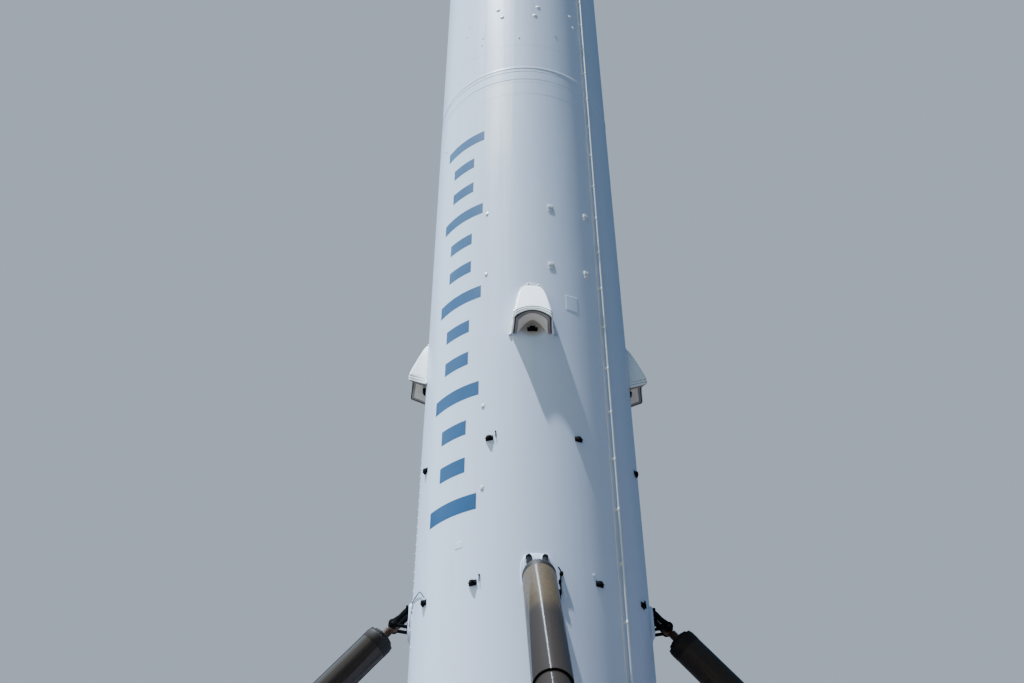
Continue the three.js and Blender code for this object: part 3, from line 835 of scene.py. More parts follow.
def makeHood():
    rings = [(up, 0, 0) for up in hood["levels"]]
    lapStrips = []
    sunk = 0.0
    # grey strips along the laps' steps, darkening the lines under the ledges
    for at, step in hood["laps"]:
        high, low, out, deep = at + 0.001, at - 0.007, sunk + 0.0006, sunk + step + 0.001
        lapStrips.append(hoodStrip((high, 0, out, 0), (low, 0, out, 0), (low, 0, deep, 0),
                                 (high, 0, deep, 0)))
        rings += [(at + 0.006, 0, sunk), (at + 0.002, 0, sunk + 0.001)]
        sunk += step
        rings += [(at + 0.002, 0, sunk - 0.001), (at, 0, sunk), (at - 0.02, 0, sunk)]
    lip, high = hood["lip"] + 0.002, hood["bandHigh"]
    rings += [(0.006, 0, sunk), (0, 0, sunk + 0.002), (0, lip, 0), (hood["pocket"], lip, 0)]
    outside = hood["lip"] + hood["gap"]
    between, inside = outside + hood["seal"], outside + hood["band"]
    # the outer band is painted shade, black for the shadow gap inside the lip; the inner one is the grey
    # seal
    bands = [
        bevelled(hoodStrip((0, near, 0, low), (0, far, 0, low), (0, far, 0, high), (0, near, 0, high)),
                 0.0015)
        for near, far, low in ((outside, between, 0.001), (between + 0.0005, inside, 0.004))]
    front, back = hoodPlates(inside - 0.003)
    latch = joined([
        block((-0.042, -0.020, -0.014), (0.042, 0.004, 0.014), 0.004),
        block((-0.024, -0.030, -0.008), (0.024, -0.004, 0.024), 0.004),
        rod((-0.045, -0.020, 0.004), (0.045, -0.020, 0.004), 0.007, 12, 0.001)])
    placed(latch, spot(0, hood["rim"] + 0.034))
    shell = lofted([hoodRing(*ring) for ring in rings])
    onEachSide(smooth(shell, 30), "hoodShell", "hoodPaint", node="leg_tip_hood_{}")
    onEachSide(smooth(bands[0]), "hoodGapShade", "rimRubber")
    onEachSide(smooth(bands[1]), "hoodSeal", "rimSeal")
    onEachSide(smooth(joined(lapStrips)), "hoodLapStrips", "rimSeal")
    onEachSide(smooth(sheet(front, 0.004), 60), "hoodPlate", "platePaint")
    onEachSide(smooth(sheet(back, 0.003), 60), "hoodBack", "backPaint")
    onEachSide(latch, "hoodLatch", "blackPaint")


def hoodEdge(clear):
    # the hood's outline on the skin, grown by a clearance, as (azimuth, height)
    steps = hood["edgeSteps"]
    points = []
    for step in range(steps + 1):
        angle = pi * step / steps
        up = sin(angle) ** 0.75
        foot = hoodShape(up)[0] + hood["flare"] * (1 - up)
        side = -1 if angle < pi / 2 else 1
        points.append(Vector((skinRadius * asin(foot / skinRadius) * side, hood["rim"] + hoodHigh * up)))
    edge = []
    for index, point in enumerate(points):
        along = (points[min(index + 1, steps)] - points[max(index - 1, 0)]).normalized()
        grown = point + Vector((-along.y, along.x)) * clear
        edge.append((degrees(grown.x / skinRadius), grown.y))
    return edge


def makeHoodFlange():
    rings = [[onSkin(*low, -0.003), onSkin(*high, -0.003), onSkin(*high, 0.0045), onSkin(*low, 0.007)]
             for low, high in zip(hoodEdge(-0.006), hoodEdge(hood["flange"]))]
    onEachSide(smooth(lofted(rings)), "hoodFlange", "fittingPaint")
    edge = hoodEdge(hood["flange"] * 0.6)
    places = []
    gone = hood["boltPitch"]
    for before, after in zip(edge, edge[1:]):
        gone += (onSkin(*after) - onSkin(*before)).length
        if gone > hood["boltPitch"]:
            gone = 0
            places.append(spot(*after))
    hardware = [repeated(boltHead(0.0075, 0.009), places)]
    for aside in (-hood["footAside"], hood["footAside"]):
        foot = block((-0.010, -0.014, -0.009), (0.010, 0.002, 0.009), 0.003)
        hardware.append(placed(foot, spot(aside, hood["rim"] - 0.006)))
    onEachSide(joined(hardware), "hoodTabs", "zinc")


makeHood()
makeHoodFlange()
print("hoods made")


# strut brackets, in the plane of each leg: places are (distance from the axis, height over the pivot)

strut = {"pivotR": 1.052, "pivotZ": 3.641, "slope": 48.0, "length": 4.260}
bracket = {
    "cheekAt": 0.058, "cheekHalf": 0.017, "boss": 0.034, "bolt": 0.010, "pinReach": 0.021, "face": 0.927,
    "pad": (0.116, -0.137, 0.168, 0.009, 3.2),  # half width, low, high, rise and squareness
    "riser": (0.034, -0.107, 0.156, 0.026, 4.0),
    "arm": ((0.929, 0.140), (0.946, 0.137), (0.978, 0.104), (1.012, 0.064), (1.052, 0.034),
            (1.080, 0.010), (1.072, -0.022), (1.046, -0.034), (1.022, -0.003), (0.982, 0.040),
            (0.948, 0.078), (0.929, 0.082)),
    "bar": ((0.929, -0.037), (1.046, -0.019), (1.046, -0.001), (0.929, -0.019)),
    "feet": ((0.080, 0.148), (-0.056, 0.004)),  # the arm's and the bar's
    "knob": 0.022, "knobAt": 0.125, "boltAside": 0.012, "boltLifts": (0.091, -0.006, -0.047),
}


def roundedOutline(half, low, high, power, steps=40):
    middle, reach = (low + high) / 2, (high - low) / 2
    points = []
    for step in range(steps):
        c, s = cos(2 * pi * step / steps), sin(2 * pi * step / steps)
        points.append((half * copysign(abs(c) ** (2 / power), c),
                       middle + reach * copysign(abs(s) ** (2 / power), s)))
    return points


def dished(outline, middle, levels, azimuth, height):
    # a plate that follows the skin, with the outline's share of each (share, depth) level
    rings = [[xyz(x * share, -depth, middle + (z - middle) * share) for x, z in outline]
             for share, depth in levels]
    return wrapped(lofted(rings), azimuth, height)


def wrappedPad(kind, azimuth):
    half, low, high, rise, power = bracket[kind]
    levels = ((1, -0.004), (1, rise * 0.6), (1 - 0.004 / half, rise), (0.5, rise), (0.02, rise))
    outline = roundedOutline(half, low, high, power)
    return dished(outline, (low + high) / 2, levels, azimuth, strut["pivotZ"])


def makeBracket():
    z, face, pivot = strut["pivotZ"], -bracket["face"], -strut["pivotR"]
    pads = [wrappedPad("pad", 0)]
    black = []
    bolts = []
    for middle in (-bracket["cheekAt"], bracket["cheekAt"]):
        pads.append(wrappedPad("riser", degrees(middle / skinRadius)))
        near, far = middle - bracket["cheekHalf"], middle + bracket["cheekHalf"]
        for kind, gap, bevel in (("arm", 0, 0.006), ("bar", 0.002, 0.002)):
            outline = [(r, z + lift) for r, lift in bracket[kind]]
            black.append(slab(outline, sideLay, near + gap, far - gap, bevel))
        black.append(rod((near - 0.001, pivot, z), (far + 0.001, pivot, z), bracket["boss"], 32, 0.006))
        for low, high in bracket["feet"]:
            black.append(block((near - 0.004, face - 0.009, z + low),
                               (far + 0.004, face + 0.012, z + high), 0.003))
        knobZ = z + bracket["knobAt"]
        black.append(rod((middle, face + 0.012, knobZ), (middle, face - 0.034, knobZ), bracket["knob"],
                         28, 0.005))
        for lift in bracket["boltLifts"]:
            for aside in (-bracket["boltAside"], bracket["boltAside"]):
                bolts.append(moved(middle + aside, face - 0.009, z + lift))
    pinHalf = bracket["cheekAt"] + bracket["pinReach"]
    pin = joined([
        rod((-0.045, pivot, z), (0.045, pivot, z), 0.0185, 32),
        rod((-pinHalf, pivot, z), (pinHalf, pivot, z), bracket["bolt"], 24, 0.002)])
    onEachSide(smooth(joined(black)), "bracketArms", "blackPaint",
               node="strut_bracket_{}")
    onEachSide(smooth(joined(pads)), "bracketPad", "tankPaint")
    onEachSide(pin, "bracketPin", "capComposite")
    onEachSide(repeated(boltHead(0.008, 0.008), bolts), "bracketBolts", "blackPaint")


makeBracket()
print("brackets made")


# telescoping struts, in a frame whose +Z runs down the strut from its upper pivot

stages = {
    "steps": 72,
    "outer": (0.213, 1.630, 0.115),  # start, end and radius
    "inner": ((1.6303, 2.550, 0.102), (2.550, 3.400, 0.088), (3.400, 4.060, 0.075)),
    "cap": ((0, 0.095), (0.058, 0.095), (0.062, 0.100), (0.062, 0.104), (0.083, 0.104), (0.086, 0.108),
            (0.086, 0.124), (0.104, 0.128), (0.113, 0.137), (0.1165, 0.152), (0.1165, 0.211),
            (0.114, 0.215), (0, 0.215)),
    "studs": 24, "studAt": (0, -0.0975, 0.130),
    "ribs": 5, "ribAt": 0.040, "ribPitch": 0.011,
    "rib": ((0.024, 0), (0.033, 0.002), (0.034, 0.006), (0.024, 0.008)),
    "rodEnd": ((0, 4.05), (0.060, 4.05), (0.062, 4.058), (0.062, 4.072), (0.045, 4.080), (0.030, 4.100),
               (0.026, 4.130), (0.026, 4.226), (0, 4.227)),
    "collar": 0.045, "eye": 0.040, "eyeHalf": 0.028, "eyeBore": 0.019,
}
radial = spun(-90, "Z")  # turns +X outwards at azimuth 0
strutFrame = radial @ moved(strut["pivotR"], 0, strut["pivotZ"]) @ spun(strut["slope"] + 90, "Y")


def eyeRing(at):
    # a short tube across the strut
    bore, eye, half = stages["eyeBore"], stages["eye"], stages["eyeHalf"]
    section = [(bore, -half), (eye - 0.003, -half), (eye, 0.003 - half), (eye, half - 0.003),
               (eye - 0.003, half), (bore, half)]
    return turned(closed(section), 32, moved(0, 0, at) @ spun(90, "X"))


def strutPiece(piece, name, finish, node=None):
    onEachSide(placed(smooth(piece), strutFrame), name, finish, node=node)


def makeStrut():
    steps, long = stages["steps"], stages["collar"]
    top, end, radius = stages["outer"]
    ring = [(0.098, end - 0.004), (radius - 0.0015, end - 0.004), (radius - 0.0015, end - 0.0005),
            (0.098, end - 0.0005)]
    sleeve = [(0.06, top), (radius, top), (radius, end - 0.002), (radius - 0.001, end - 0.001),
              (0.06, end - 0.003)]
    studs = [spun(360 / stages["studs"] * k, "Z") @ moved(*stages["studAt"]) @ spun(90, "X")
             for k in range(stages["studs"])]
    neck = [(0.012, 0.030)]
    for rib in range(stages["ribs"]):
        neck += [(r, stages["ribAt"] + stages["ribPitch"] * rib + z) for r, z in stages["rib"]]
    neck += [(0.026, 0.097), (0.012, 0.098)]
    tubes = []
    fitting = [turned(stages["rodEnd"], 40), eyeRing(strut["length"])]
    strutPiece(turned(closed(ring), steps), "strutRing", "blackPaint")
    strutPiece(turned(closed(sleeve), steps), "strutSleeve", "windingComposite",
               node="strut_upper_tube_{}")
    for start, end, radius in stages["inner"]:
        wide = radius + 0.005
        tube = [(0.03, start), (radius, start + 0.0005), (radius, end - 0.002), (radius - 0.002, end),
                (0.03, end)]
        collar = [(0.05, end - long), (radius + 0.002, end - long), (wide, end - long + 0.004),
                  (wide, end - 0.004), (radius + 0.001, end + 0.001), (0.05, end + 0.001)]
        tubes.append(turned(closed(tube), steps))
        fitting.append(turned(closed(collar), steps))
    cap = [turned(stages["cap"], steps), repeated(rod((0, 0, 0), (0, 0, 0.013), 0.0075, 6), studs)]
    strutPiece(joined(cap), "strutCap", "capComposite")
    strutPiece(joined([turned(closed(neck), 32), eyeRing(0)]), "strutNeck", "rustySteel")
    strutPiece(joined(tubes), "strutStages", "windingComposite", node="strut_lower_tube_{}")
    strutPiece(joined(fitting), "strutCollars", "capComposite")


makeStrut()
print("struts made")


# black clips that held the folded legs, in pairs, with a pin by one clip of each pair

clip = {
    "rows": ((4.81, 22.1), (3.635, 29.2)),  # height, and degrees to each side of the leg's line
    "half": 0.030, "high": 0.021, "out": 0.028,
}


def makeClips():
    half, high, out = clip["half"], clip["high"], clip["out"]
    wedge = [(-half, -0.001), (-half, 0.008), (-0.010, out), (0.006, out), (half, 0.008), (half, -0.001)]
    for name, finish, signs, pieces in (
            ("legClips", "blackPaint", (-1, 1), [
                block((-half, -0.006, -high), (half, 0.002, high), 0.0015),
                slab(wedge, flatLay, -high * 0.8, high * 0.75, 0.002)]),
            ("legClipCentres", "capComposite", (-1, 1), [
                block((-0.008, -out - 0.002, -0.008), (0.004, -out + 0.006, 0.010), 0.002),
                rod((-half - 0.003, -0.010, 0), (half + 0.003, -0.010, 0), 0.005, 12, 0.001)]),
            ("legClipPins", "capComposite", (-1,), [
                rod((0.050, -0.004, 0.050), (0.053, -0.010, -0.004), 0.0030, 8),
                block((0.046, -0.010, 0.044), (0.056, 0.001, 0.056), 0.002)])):
        places = [spot(leg + sign * aside, height) for leg in legSides.values()
                  for height, aside in clip["rows"] for sign in signs]
        finished(smooth(repeated(joined(pieces), places)), name, finish)


makeClips()


# the conduit: a thin tube in clamps

conduit = {
    "azimuth": 43.5, "radius": 0.0085, "out": 0.0205, "endIn": 0.021, "endHalf": 0.020,
    "pitch": 0.445, "first": 2.52, "beadAside": -2.2, "beadHalf": 0.3, "beadRise": 0.0025,
}


def makeConduit():
    low, high = (end.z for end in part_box("conduit"))
    azimuth, radius, first, pitch = (conduit[name] for name in ("azimuth", "radius", "first", "pitch"))
    endIn, endHalf = conduit["endIn"], conduit["endHalf"]
    tubes = [
        rod(onSkin(azimuth, start, conduit["out"]), onSkin(azimuth, end, conduit["out"]),
            thick, 16, 0.003)
        for start, end, thick in (
            (low + 0.02, high - 0.02, radius),
            (low + endIn - endHalf, low + endIn + endHalf, radius + 0.001),
            (high - endIn - endHalf, high - endIn + endHalf, radius + 0.001))]
    finished(smooth(joined(tubes)), "conduitTube", "fittingPaint", replaces=["conduit"])
    strap = joined([
        block((-0.022, -0.004, -0.012), (0.022, 0.001, 0.012), 0.0015),
        block((-0.011, -0.0298, -0.013), (0.011, 0.001, 0.013), 0.005, 3),
        repeated(boltHead(0.0045, 0.005), [moved(aside, -0.004, 0) for aside in (-0.0165, 0.0165)])])
    places = [spot(azimuth, first + pitch * k) for k in range(int((high - first - 0.05) / pitch) + 1)]
    finished(smooth(repeated(strap, places)), "conduitClamps", "fittingPaint")
    aside, half = azimuth + conduit["beadAside"], conduit["beadHalf"]
    bead = skinPatch((aside - half, aside + half), (low, high), conduit["beadRise"], steps=2)
    finished(smooth(bead), "conduitBead", "platePaint")


makeConduit()


# small fittings on the tanks, by (azimuth, height)

fittings = {
    "boxes": ((11.7, 7.315), (11.1, 6.59), (35.1, 7.34), (33.0, 6.60)),
    "ports": ((-20.2, 10.51), (-17.2, 10.355), (8.35, 10.52), (6.0, 10.355), (33.6, 10.56),
              (35.8, 10.375), (160.0, 10.51), (163.0, 10.355), (188.3, 10.52), (-150.0, 10.42)),
    "portDome": ((0, -0.008), (0.010, -0.0072), (0.018, -0.0048), (0.024, -0.0014), (0.027, 0.001),
                 (0, 0.001)),
    "studs": ((-46.3, 10.31), (-43.6, 10.46), (-31.5, 10.085), (-32.2, 9.965), (-5.35, 9.93),
              (20.1, 10.06), (26.6, 3.696), (-81.6, 3.932), (-79.1, 3.403), (9.6, 3.008), (-64.8, 8.63)),
    "marks": ((-25.7, 7.29), (-25.6, 6.535), (-25.9, 5.13), (-25.6, 4.385)),
    "covers": (((18.6, 26.0), (6.11, 6.28)), ((-39.8, -35.1), (3.93, 3.99)),
               ((120.0, 131.0), (3.2, 3.55)), ((-138.0, -129.0), (12.9, 13.2)),
               ((140.0, 148.0), (15.6, 15.9))),
    "coverRise": 0.0016, "coverEdge": 0.006, "coverSteps": 10,
    "seam": (-81.0, 3.55, 5.10, 0.078),  # azimuth, lowest, highest, pitch
    # (azimuth, height, distance from the skin) along the front bracket's cables
    "clipCable": ((-59.6, 3.668, 0.014), (-61.4, 3.70, 0.018), (-64.4, 3.742, 0.016),
                  (-70.6, 3.75, 0.008), (-77.8, 3.752, 0.006), (-83.0, 3.70, 0.006),
                  (-84.0, 3.60, 0.012)),
    "plugCable": ((9.4, 3.71, 0.010), (10.4, 3.665, 0.020), (9.9, 3.61, 0.018), (10.1, 3.56, 0.014),
                  (9.8, 3.51, 0.018), (9.5, 3.45, 0.008)),
    # half width, depth, low, high, bevel and place
    "plugs": ((0.012, 0.026, -0.012, 0.014, 0.004, (10.6, 3.660)),
              (0.009, 0.020, -0.016, 0.012, 0.003, (9.9, 3.602)),
              (0.009, 0.024, -0.020, 0.016, 0.003, (9.8, 3.525))),
}


def lowCover(azimuths, heights):
    # a thin plate whose edges slope up out of the skin
    edge, rise, steps = fittings["coverEdge"], fittings["coverRise"], fittings["coverSteps"]
    aside = degrees(edge / skinRadius)
    left, right = azimuths
    inner = [left + aside + (right - left - 2 * aside) * step / steps for step in range(steps + 1)]
    rows = []
    for height in (heights[0], heights[0] + edge, heights[1] - edge, heights[1]):
        rows.append([
            onSkin(azimuth, height, -0.001 if height in heights or azimuth in azimuths else rise)
            for azimuth in (left, *inner, right)])
    return sheet(rows, 0.0006)


def cable(kind, radius):
    return piped(curved([onSkin(*place) for place in fittings[kind]]), radius)


def bolted(radius, height, sides, places, name, finish):
    finished(repeated(boltHead(radius, height, sides), places), name, finish)


def makeFittings():
    box = joined([
        block((-0.024, -0.009, -0.010), (0.024, 0.002, 0.036), 0.003),
        block((-0.020, -0.006, -0.040), (0.020, 0.002, -0.012), 0.002)])
    port = turned(fittings["portDome"], 24, spun(-90, "X"))
    stud = boltHead(0.009, 0.005, 12)
    mark = block((-0.012, -0.006, -0.016), (0.012, 0.001, 0.016), 0.002)
    for piece, kind, name, finish, slotName in (
            (smooth(box), "boxes", "sensorBoxes", "fittingPaint", "white_paint"),
            (smooth(port), "ports", "pressurePorts", "hoodPaint", "white_paint"),
            (stud, "studs", "skinStuds", "fittingPaint", "white_paint"),
            (smooth(mark), "marks", "liftPoints", "zinc", "fitting_steel")):
        finished(repeated(piece, [spot(*place) for place in fittings[kind]]), name, finish)
    covers = [lowCover(*cover) for cover in fittings["covers"]]
    finished(smooth(joined(covers), 8), "accessCovers", "tankPaint")
    azimuth, low, high, pitch = fittings["seam"]
    seam = [spot(azimuth, low + pitch * k) for k in range(int((high - low) / pitch) + 1)]
    bolted(0.007, 0.008, 8, seam, "seamBolts", "fittingPaint")
    finished(smooth(cable("clipCable", 0.0035)), "clipCable", "capComposite")
    plugs = [placed(block((-half, -depth, low), (half, 0.001, high), bevel), spot(*place))
             for half, depth, low, high, bevel, place in fittings["plugs"]]
    plugs.append(cable("plugCable", 0.005))
    finished(smooth(joined(plugs)), "bracketPlugs", "blackPaint")


makeFittings()


# plain blue bars, in two widths

bars = {
    "middle": -44.0, "wide": 15.5, "narrow": 8.5, "every": 3, "high": 0.135, "pitch": 0.345, "from": 4.22,
    "count": 13, "rise": 0.0006,
}


def makeBars():
    pieces = []
    for index in range(bars["count"]):
        low = bars["from"] + bars["pitch"] * index
        half = bars["narrow"] if index % bars["every"] else bars["wide"]
        around = bars["middle"] - half, bars["middle"] + half
        pieces.append(skinPatch(around, (low, low + bars["high"]), bars["rise"], 0.002, 20))
    finished(smooth(joined(pieces)), "blueBars", "markingBlue")


makeBars()
print("small fittings made")


# landing legs, in a frame whose +X runs from the hinge to the tip and whose -Z is the outer face

leg = {
    "hingeR": 0.990, "hingeZ": 1.875, "tipR": 4.470, "tipZ": 0.085,
    # distance from the hinge, half width and depth
    "sections": ((0.09, 0.43, 0.070), (0.42, 0.47, 0.150), (1.2, 0.41, 0.175), (2.2, 0.29, 0.150),
                 (3.2, 0.19, 0.110), (3.9, 0.13, 0.060)),
    "fullness": 0.8, "arcSteps": 24, "stations": 26, "rise": 0.020, "edge": 0.025, "wall": 0.010,
    "channel": 0.125, "channelIn": 0.045, "channelDepth": 0.045, "ribPitch": 0.24, "bolts": 36,
    "hoses": (-0.05, -0.03), "clampPitch": 0.35, "clamps": 8,
    "armAt": 0.380, "armHalf": 0.035, "armRadius": 0.045,
    "arm": ((0, -0.040), (0.24, -0.034), (0.34, 0.0), (0.34, 0.014), (0.22, 0.022), (0, 0.040)),
    "web": ((0.04, -0.020), (0.2, -0.022), (0.2, 0.006), (0.04, 0.018)),
}
legFirst, legLast = leg["sections"][0][0], leg["sections"][-1][0]
legStations = [legFirst + (legLast - legFirst) * k / leg["stations"] for k in range(leg["stations"] + 1)]
legSlope = degrees(atan2(leg["tipZ"] - leg["hingeZ"], leg["tipR"] - leg["hingeR"]))
legFrame = radial @ moved(leg["hingeR"], 0, leg["hingeZ"]) @ spun(-legSlope, "Y")


def legSize(at):
    # half width and depth, eased between the sections
    sections = leg["sections"]
    index = max(i for i, section in enumerate(sections[:-1]) if section[0] <= at + 1e-6)
    start, end = sections[index], sections[index + 1]
    share = (at - start[0]) / (end[0] - start[0])
    return [a + (b - a) * share for a, b in zip(start[1:], end[1:])]


def legChannel(at):
    return min(leg["channel"], legSize(at)[0] - leg["channelIn"])


def legArc(at, inset=0.0):
    half, depth = (size - inset for size in legSize(at))
    angles = [pi * step / leg["arcSteps"] for step in range(leg["arcSteps"] + 1)]
    return [xyz(at, -half * cos(a), -depth * sin(a) ** leg["fullness"]) for a in angles]


def makeLegSkin():
    rise, edge = leg["rise"], leg["edge"]
    skin = []
    for at in legStations:
        side = legSize(at)[0] - edge
        skin.append(legArc(at) + [xyz(at, side, rise), xyz(at, side - 0.008, rise - 0.004)]
                    + legArc(at, leg["wall"])[::-1] + [xyz(at, 0.008 - side, rise - 0.004),
                                                       xyz(at, -side, rise)])
    pieces = [lofted(skin)]
    tip = legArc(legLast)
    for sign in (-1, 1):
        # the tip's corners are closed beside the foot
        arc = sorted((p for p in tip if p.y * sign >= 0.078), key=lambda p: -abs(p.y))
        top = rise - 0.001
        flat = [(sign * (tip[-1].y - edge), top), *((p.y, p.z) for p in arc), (sign * 0.078, top)]
        pieces.append(lofted([[xyz(at, y, z) for y, z in flat] for at in (legLast - 0.008, legLast)]))
    whole = placed(smooth(joined(pieces), 40), legFrame)
    onEachSide(whole, "legSkin", "tankPaint", node="leg_{}")


def makeLegDeck():
    rise, edge = leg["rise"], leg["edge"]
    top, floor = rise - 0.004, rise - leg["channelDepth"]
    deck = []
    rails = {-1: [], 1: []}
    for at in legStations:
        side, channel = legSize(at)[0] - edge - 0.006, legChannel(at)
        profile = [(side, top), (channel, top), (channel - 0.015, floor), (0.015 - channel, floor),
                   (-channel, top), (-side, top)]
        deck.append([xyz(at, y, z) for y, z in profile]
                    + [xyz(at, y, z - 0.008) for y, z in reversed(profile)])
        for sign, rail in rails.items():
            y = sign * (channel + 0.006)
            rail.append([xyz(at, y + aside, rise + lift)
                         for aside, lift in ((-0.005, -0.006), (-0.004, 0.014), (0.004, 0.014),
                                             (0.005, -0.006))])
    pieces = [lofted(rows) for rows in (deck, *rails.values())]
    for k in range(int((legLast - legFirst - 0.2) / leg["ribPitch"]) + 1):
        at = legFirst + 0.12 + leg["ribPitch"] * k
        half = legSize(at)[0] - edge - 0.010
        for sign in (-1, 1):
            y0, y1 = sorted((sign * min(leg["channel"], half - 0.010), sign * half))
            pieces.append(block((at - 0.005, y0, rise - 0.006), (at + 0.005, y1, rise + 0.012), 0.002, 1))
            pieces.append(block((at - 0.022, y0 + 0.004, rise - 0.006),
                                (at + 0.022, y1 - 0.004, rise - 0.001), 0.001, 1))
    onEachSide(placed(smooth(joined(pieces)), legFrame), "legDeck", "legComposite")
    hoses = []
    for y in leg["hoses"]:
        route = [xyz(at, y * (1 - at / 6), floor + 0.010 + 0.002 * sin(at * 9))
                 for at in legStations[:-6]]
        hoses.append(piped(route, 0.007))
    clamp = block((-0.012, -0.062, rise - 0.046), (0.012, -0.018, rise - 0.026), 0.004)
    places = [moved(legFirst + 0.2 + leg["clampPitch"] * k, 0, 0) for k in range(leg["clamps"])]
    hoses.append(repeated(clamp, places))
    onEachSide(placed(smooth(joined(hoses)), legFrame), "legHoses", "zinc")
    bolts = []
    for k in range(leg["bolts"]):
        at = legFirst + 0.06 + (legLast - legFirst - 0.12) * k / (leg["bolts"] - 1)
        side = legSize(at)[0] - edge - 0.022
        bolts += [moved(at, sign * side, top) @ spun(-90, "X") for sign in (-1, 1)]
    heads = repeated(boltHead(0.006, 0.006, 6), bolts)
    onEachSide(placed(heads, legFrame), "legDeckBolts", "zinc")


def makeLegArms():
    # the arms at the hinge, and the clevis that holds the strut's lower eye with its pin
    arms = []
    for sign in (-1, 1):
        y0, y1 = sign * leg["armAt"] - leg["armHalf"], sign * leg["armAt"] + leg["armHalf"]
        arms.append(rod((0, y0, 0), (0, y1, 0), leg["armRadius"], 40, 0.004))
        arms.append(slab(leg["arm"], legLay, y0 + 0.002, y1 - 0.002, 0.005))
        arms.append(slab(leg["web"], legLay, y0 - 0.002, y0 + 0.004))
    pieces = [placed(smooth(joined(arms)), legFrame)]
    slope, length = radians(strut["slope"]), strut["length"]
    r, z = strut["pivotR"] + length * cos(slope), strut["pivotZ"] - length * sin(slope)
    near = stages["eyeHalf"] + 0.0006
    far = near + 0.022
    cheek = [(r - 0.110, z - 0.110), (r + 0.075, z - 0.165)]
    for angle in (radians(-10 + 190 * step / 12) for step in range(13)):
        cheek.append((r + 0.042 * cos(angle), z + 0.042 * sin(angle)))
    for sign in (-1, 1):
        pieces.append(slab(cheek, sideLay, *sorted((sign * near, sign * far)), 0.003))
        for start, end, radius, sides in ((near, near + 0.030, 0.018, 24),
                                          (far + 0.0002, far + 0.007, 0.028, 6)):
            pieces.append(rod((sign * start, -r, z), (sign * end, -r, z), radius, sides, 0.002))
    onEachSide(joined(pieces), "legArms", "castAlloy")


foot = {
    "profile": ((0, 0), (0.135, 0), (0.147, 0.003), (0.158, 0.010), (0.164, 0.018), (0.165, 0.024),
                (0.160, 0.032), (0.150, 0.046), (0.140, 0.050), (0.104, 0.056), (0.100, 0.060),
                (0.098, 0.074), (0.088, 0.078), (0.084, 0.086), (0.076, 0.095), (0.070, 0.100),
                (0, 0.100)),
    "bolts": 16, "boltRing": 0.122, "boltZ": 0.0545,
}


def makeFeet():
    low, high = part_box("foot_front")
    middle = (low + high) / 2
    place = moved(middle.x, middle.y, low.z)
    bolt = moved(0, -foot["boltRing"], foot["boltZ"]) @ spun(-90, "X")
    bolts = [place @ spun(360 / foot["bolts"] * k, "Z") @ bolt for k in range(foot["bolts"])]
    pad = joined([turned(foot["profile"], 72, place), repeated(boltHead(0.008, 0.007, 6), bolts)])
    onEachSide(smooth(pad), "footPad", "footMetal", node="foot_{}")


makeLegSkin()
makeLegDeck()
makeLegArms()
makeFeet()
print("legs made")


# engine section: the skirt's smooth skin and doors over the CAD structure, and the legs' hinges

skirt = {
    "low": 1.500, "rise": 0.0022, "seams": (1.62, 1.98, 2.24), "boltPitch": 2.5,
    "boltRows": (1.53, 1.645, 1.955, 2.005, 2.215, 2.275),
    "doors": 8, "doorHalf": 9, "doorHigh": (1.68, 1.92), "doorBolts": (-8, -4, 0, 4, 8),
    "panels": (-157.0, 157.0), "panelHalf": 5.5, "panelHigh": (2.03, 2.19), "sockets": (2.06, 2.11, 2.16),
    "socket": ((0.007, 0), (0.015, 0), (0.015, 0.010), (0.012, 0.012), (0.007, 0.012), (0.007, 0)),
    "nutOut": 0.045, "nut": 0.030,
}
eighths = [22.5 + 45 * k for k in range(8)]  # between the outer engines


def makeSkirt():
    low, high = skirt["low"], tankLow.z - seat
    rise = skirt["rise"]
    section = [(low + 0.0005, 0.0002), (low, rise - 0.001), (low + 0.003, rise)]
    for seam in skirt["seams"]:
        section += [(seam - 0.003, rise), (seam - 0.002, rise - 0.0016), (seam + 0.002, rise - 0.0016),
                    (seam + 0.003, rise)]
    section += [(high - 0.003, rise), (high, rise - 0.001), (high - 0.0005, 0.0002)]
    finished(smooth(turned(closed(onWall(section)), 256)), "skirtSkin", "tankPaint")
    doors = []
    for azimuths, half, heights, out, bevel in (
            (eighths, skirt["doorHalf"], skirt["doorHigh"], 0.007, 0.002),
            (skirt["panels"], skirt["panelHalf"], skirt["panelHigh"], 0.012, 0.003)):
        doors += [bevelled(skinPatch((a - half, a + half), heights, out), bevel) for a in azimuths]
    finished(smooth(joined(doors)), "skirtDoors", "fittingPaint")
    rows = [spot(skirt["boltPitch"] * k, height, rise) for height in skirt["boltRows"]
            for k in range(int(360 / skirt["boltPitch"]))]
    bolted(0.0042, 0.004, 6, rows, "skirtBolts", "fittingPaint")
    low, high = skirt["doorHigh"]
    rows = [spot(azimuth + aside, height, 0.006) for azimuth in eighths for aside in skirt["doorBolts"]
            for height in (low + 0.02, high - 0.02)]
    bolted(0.005, 0.005, 8, rows, "doorBolts", "zinc")
    places = [spot(azimuth, height, 0.011) @ spun(90, "X")
              for height in skirt["sockets"] for azimuth in skirt["panels"]]
    finished(smooth(repeated(turned(skirt["socket"], 20), places)), "serviceSockets", "zinc")


def makeLegHinges():
    # fairings over the leg lugs' roots, and the hinge pins' nuts
    outline = roundedOutline(0.105, -0.16, 0.17, 3.0)
    levels = ((1.0, -0.004), (1.0, 0.003), (0.97, 0.006), (0.6, 0.006), (0.03, 0.006))
    fairings = []
    nuts = []
    r, z = -leg["hingeR"], leg["hingeZ"]
    for middle in (-leg["armAt"], leg["armAt"]):
        fairings.append(dished(outline, 0, levels, degrees(asin(middle / skinRadius)), z))
        for side in (-1, 1):
            at = middle + side * (leg["armHalf"] + skirt["nutOut"])
            nuts.append(rod((at, r, z), (at + side * 0.010, r, z), skirt["nut"], 6, 0.003))
    onEachSide(smooth(joined(fairings)), "hingePlates", "fittingPaint")
    onEachSide(smooth(joined(nuts)), "hingeNuts", "zinc")


makeSkirt()
makeLegHinges()


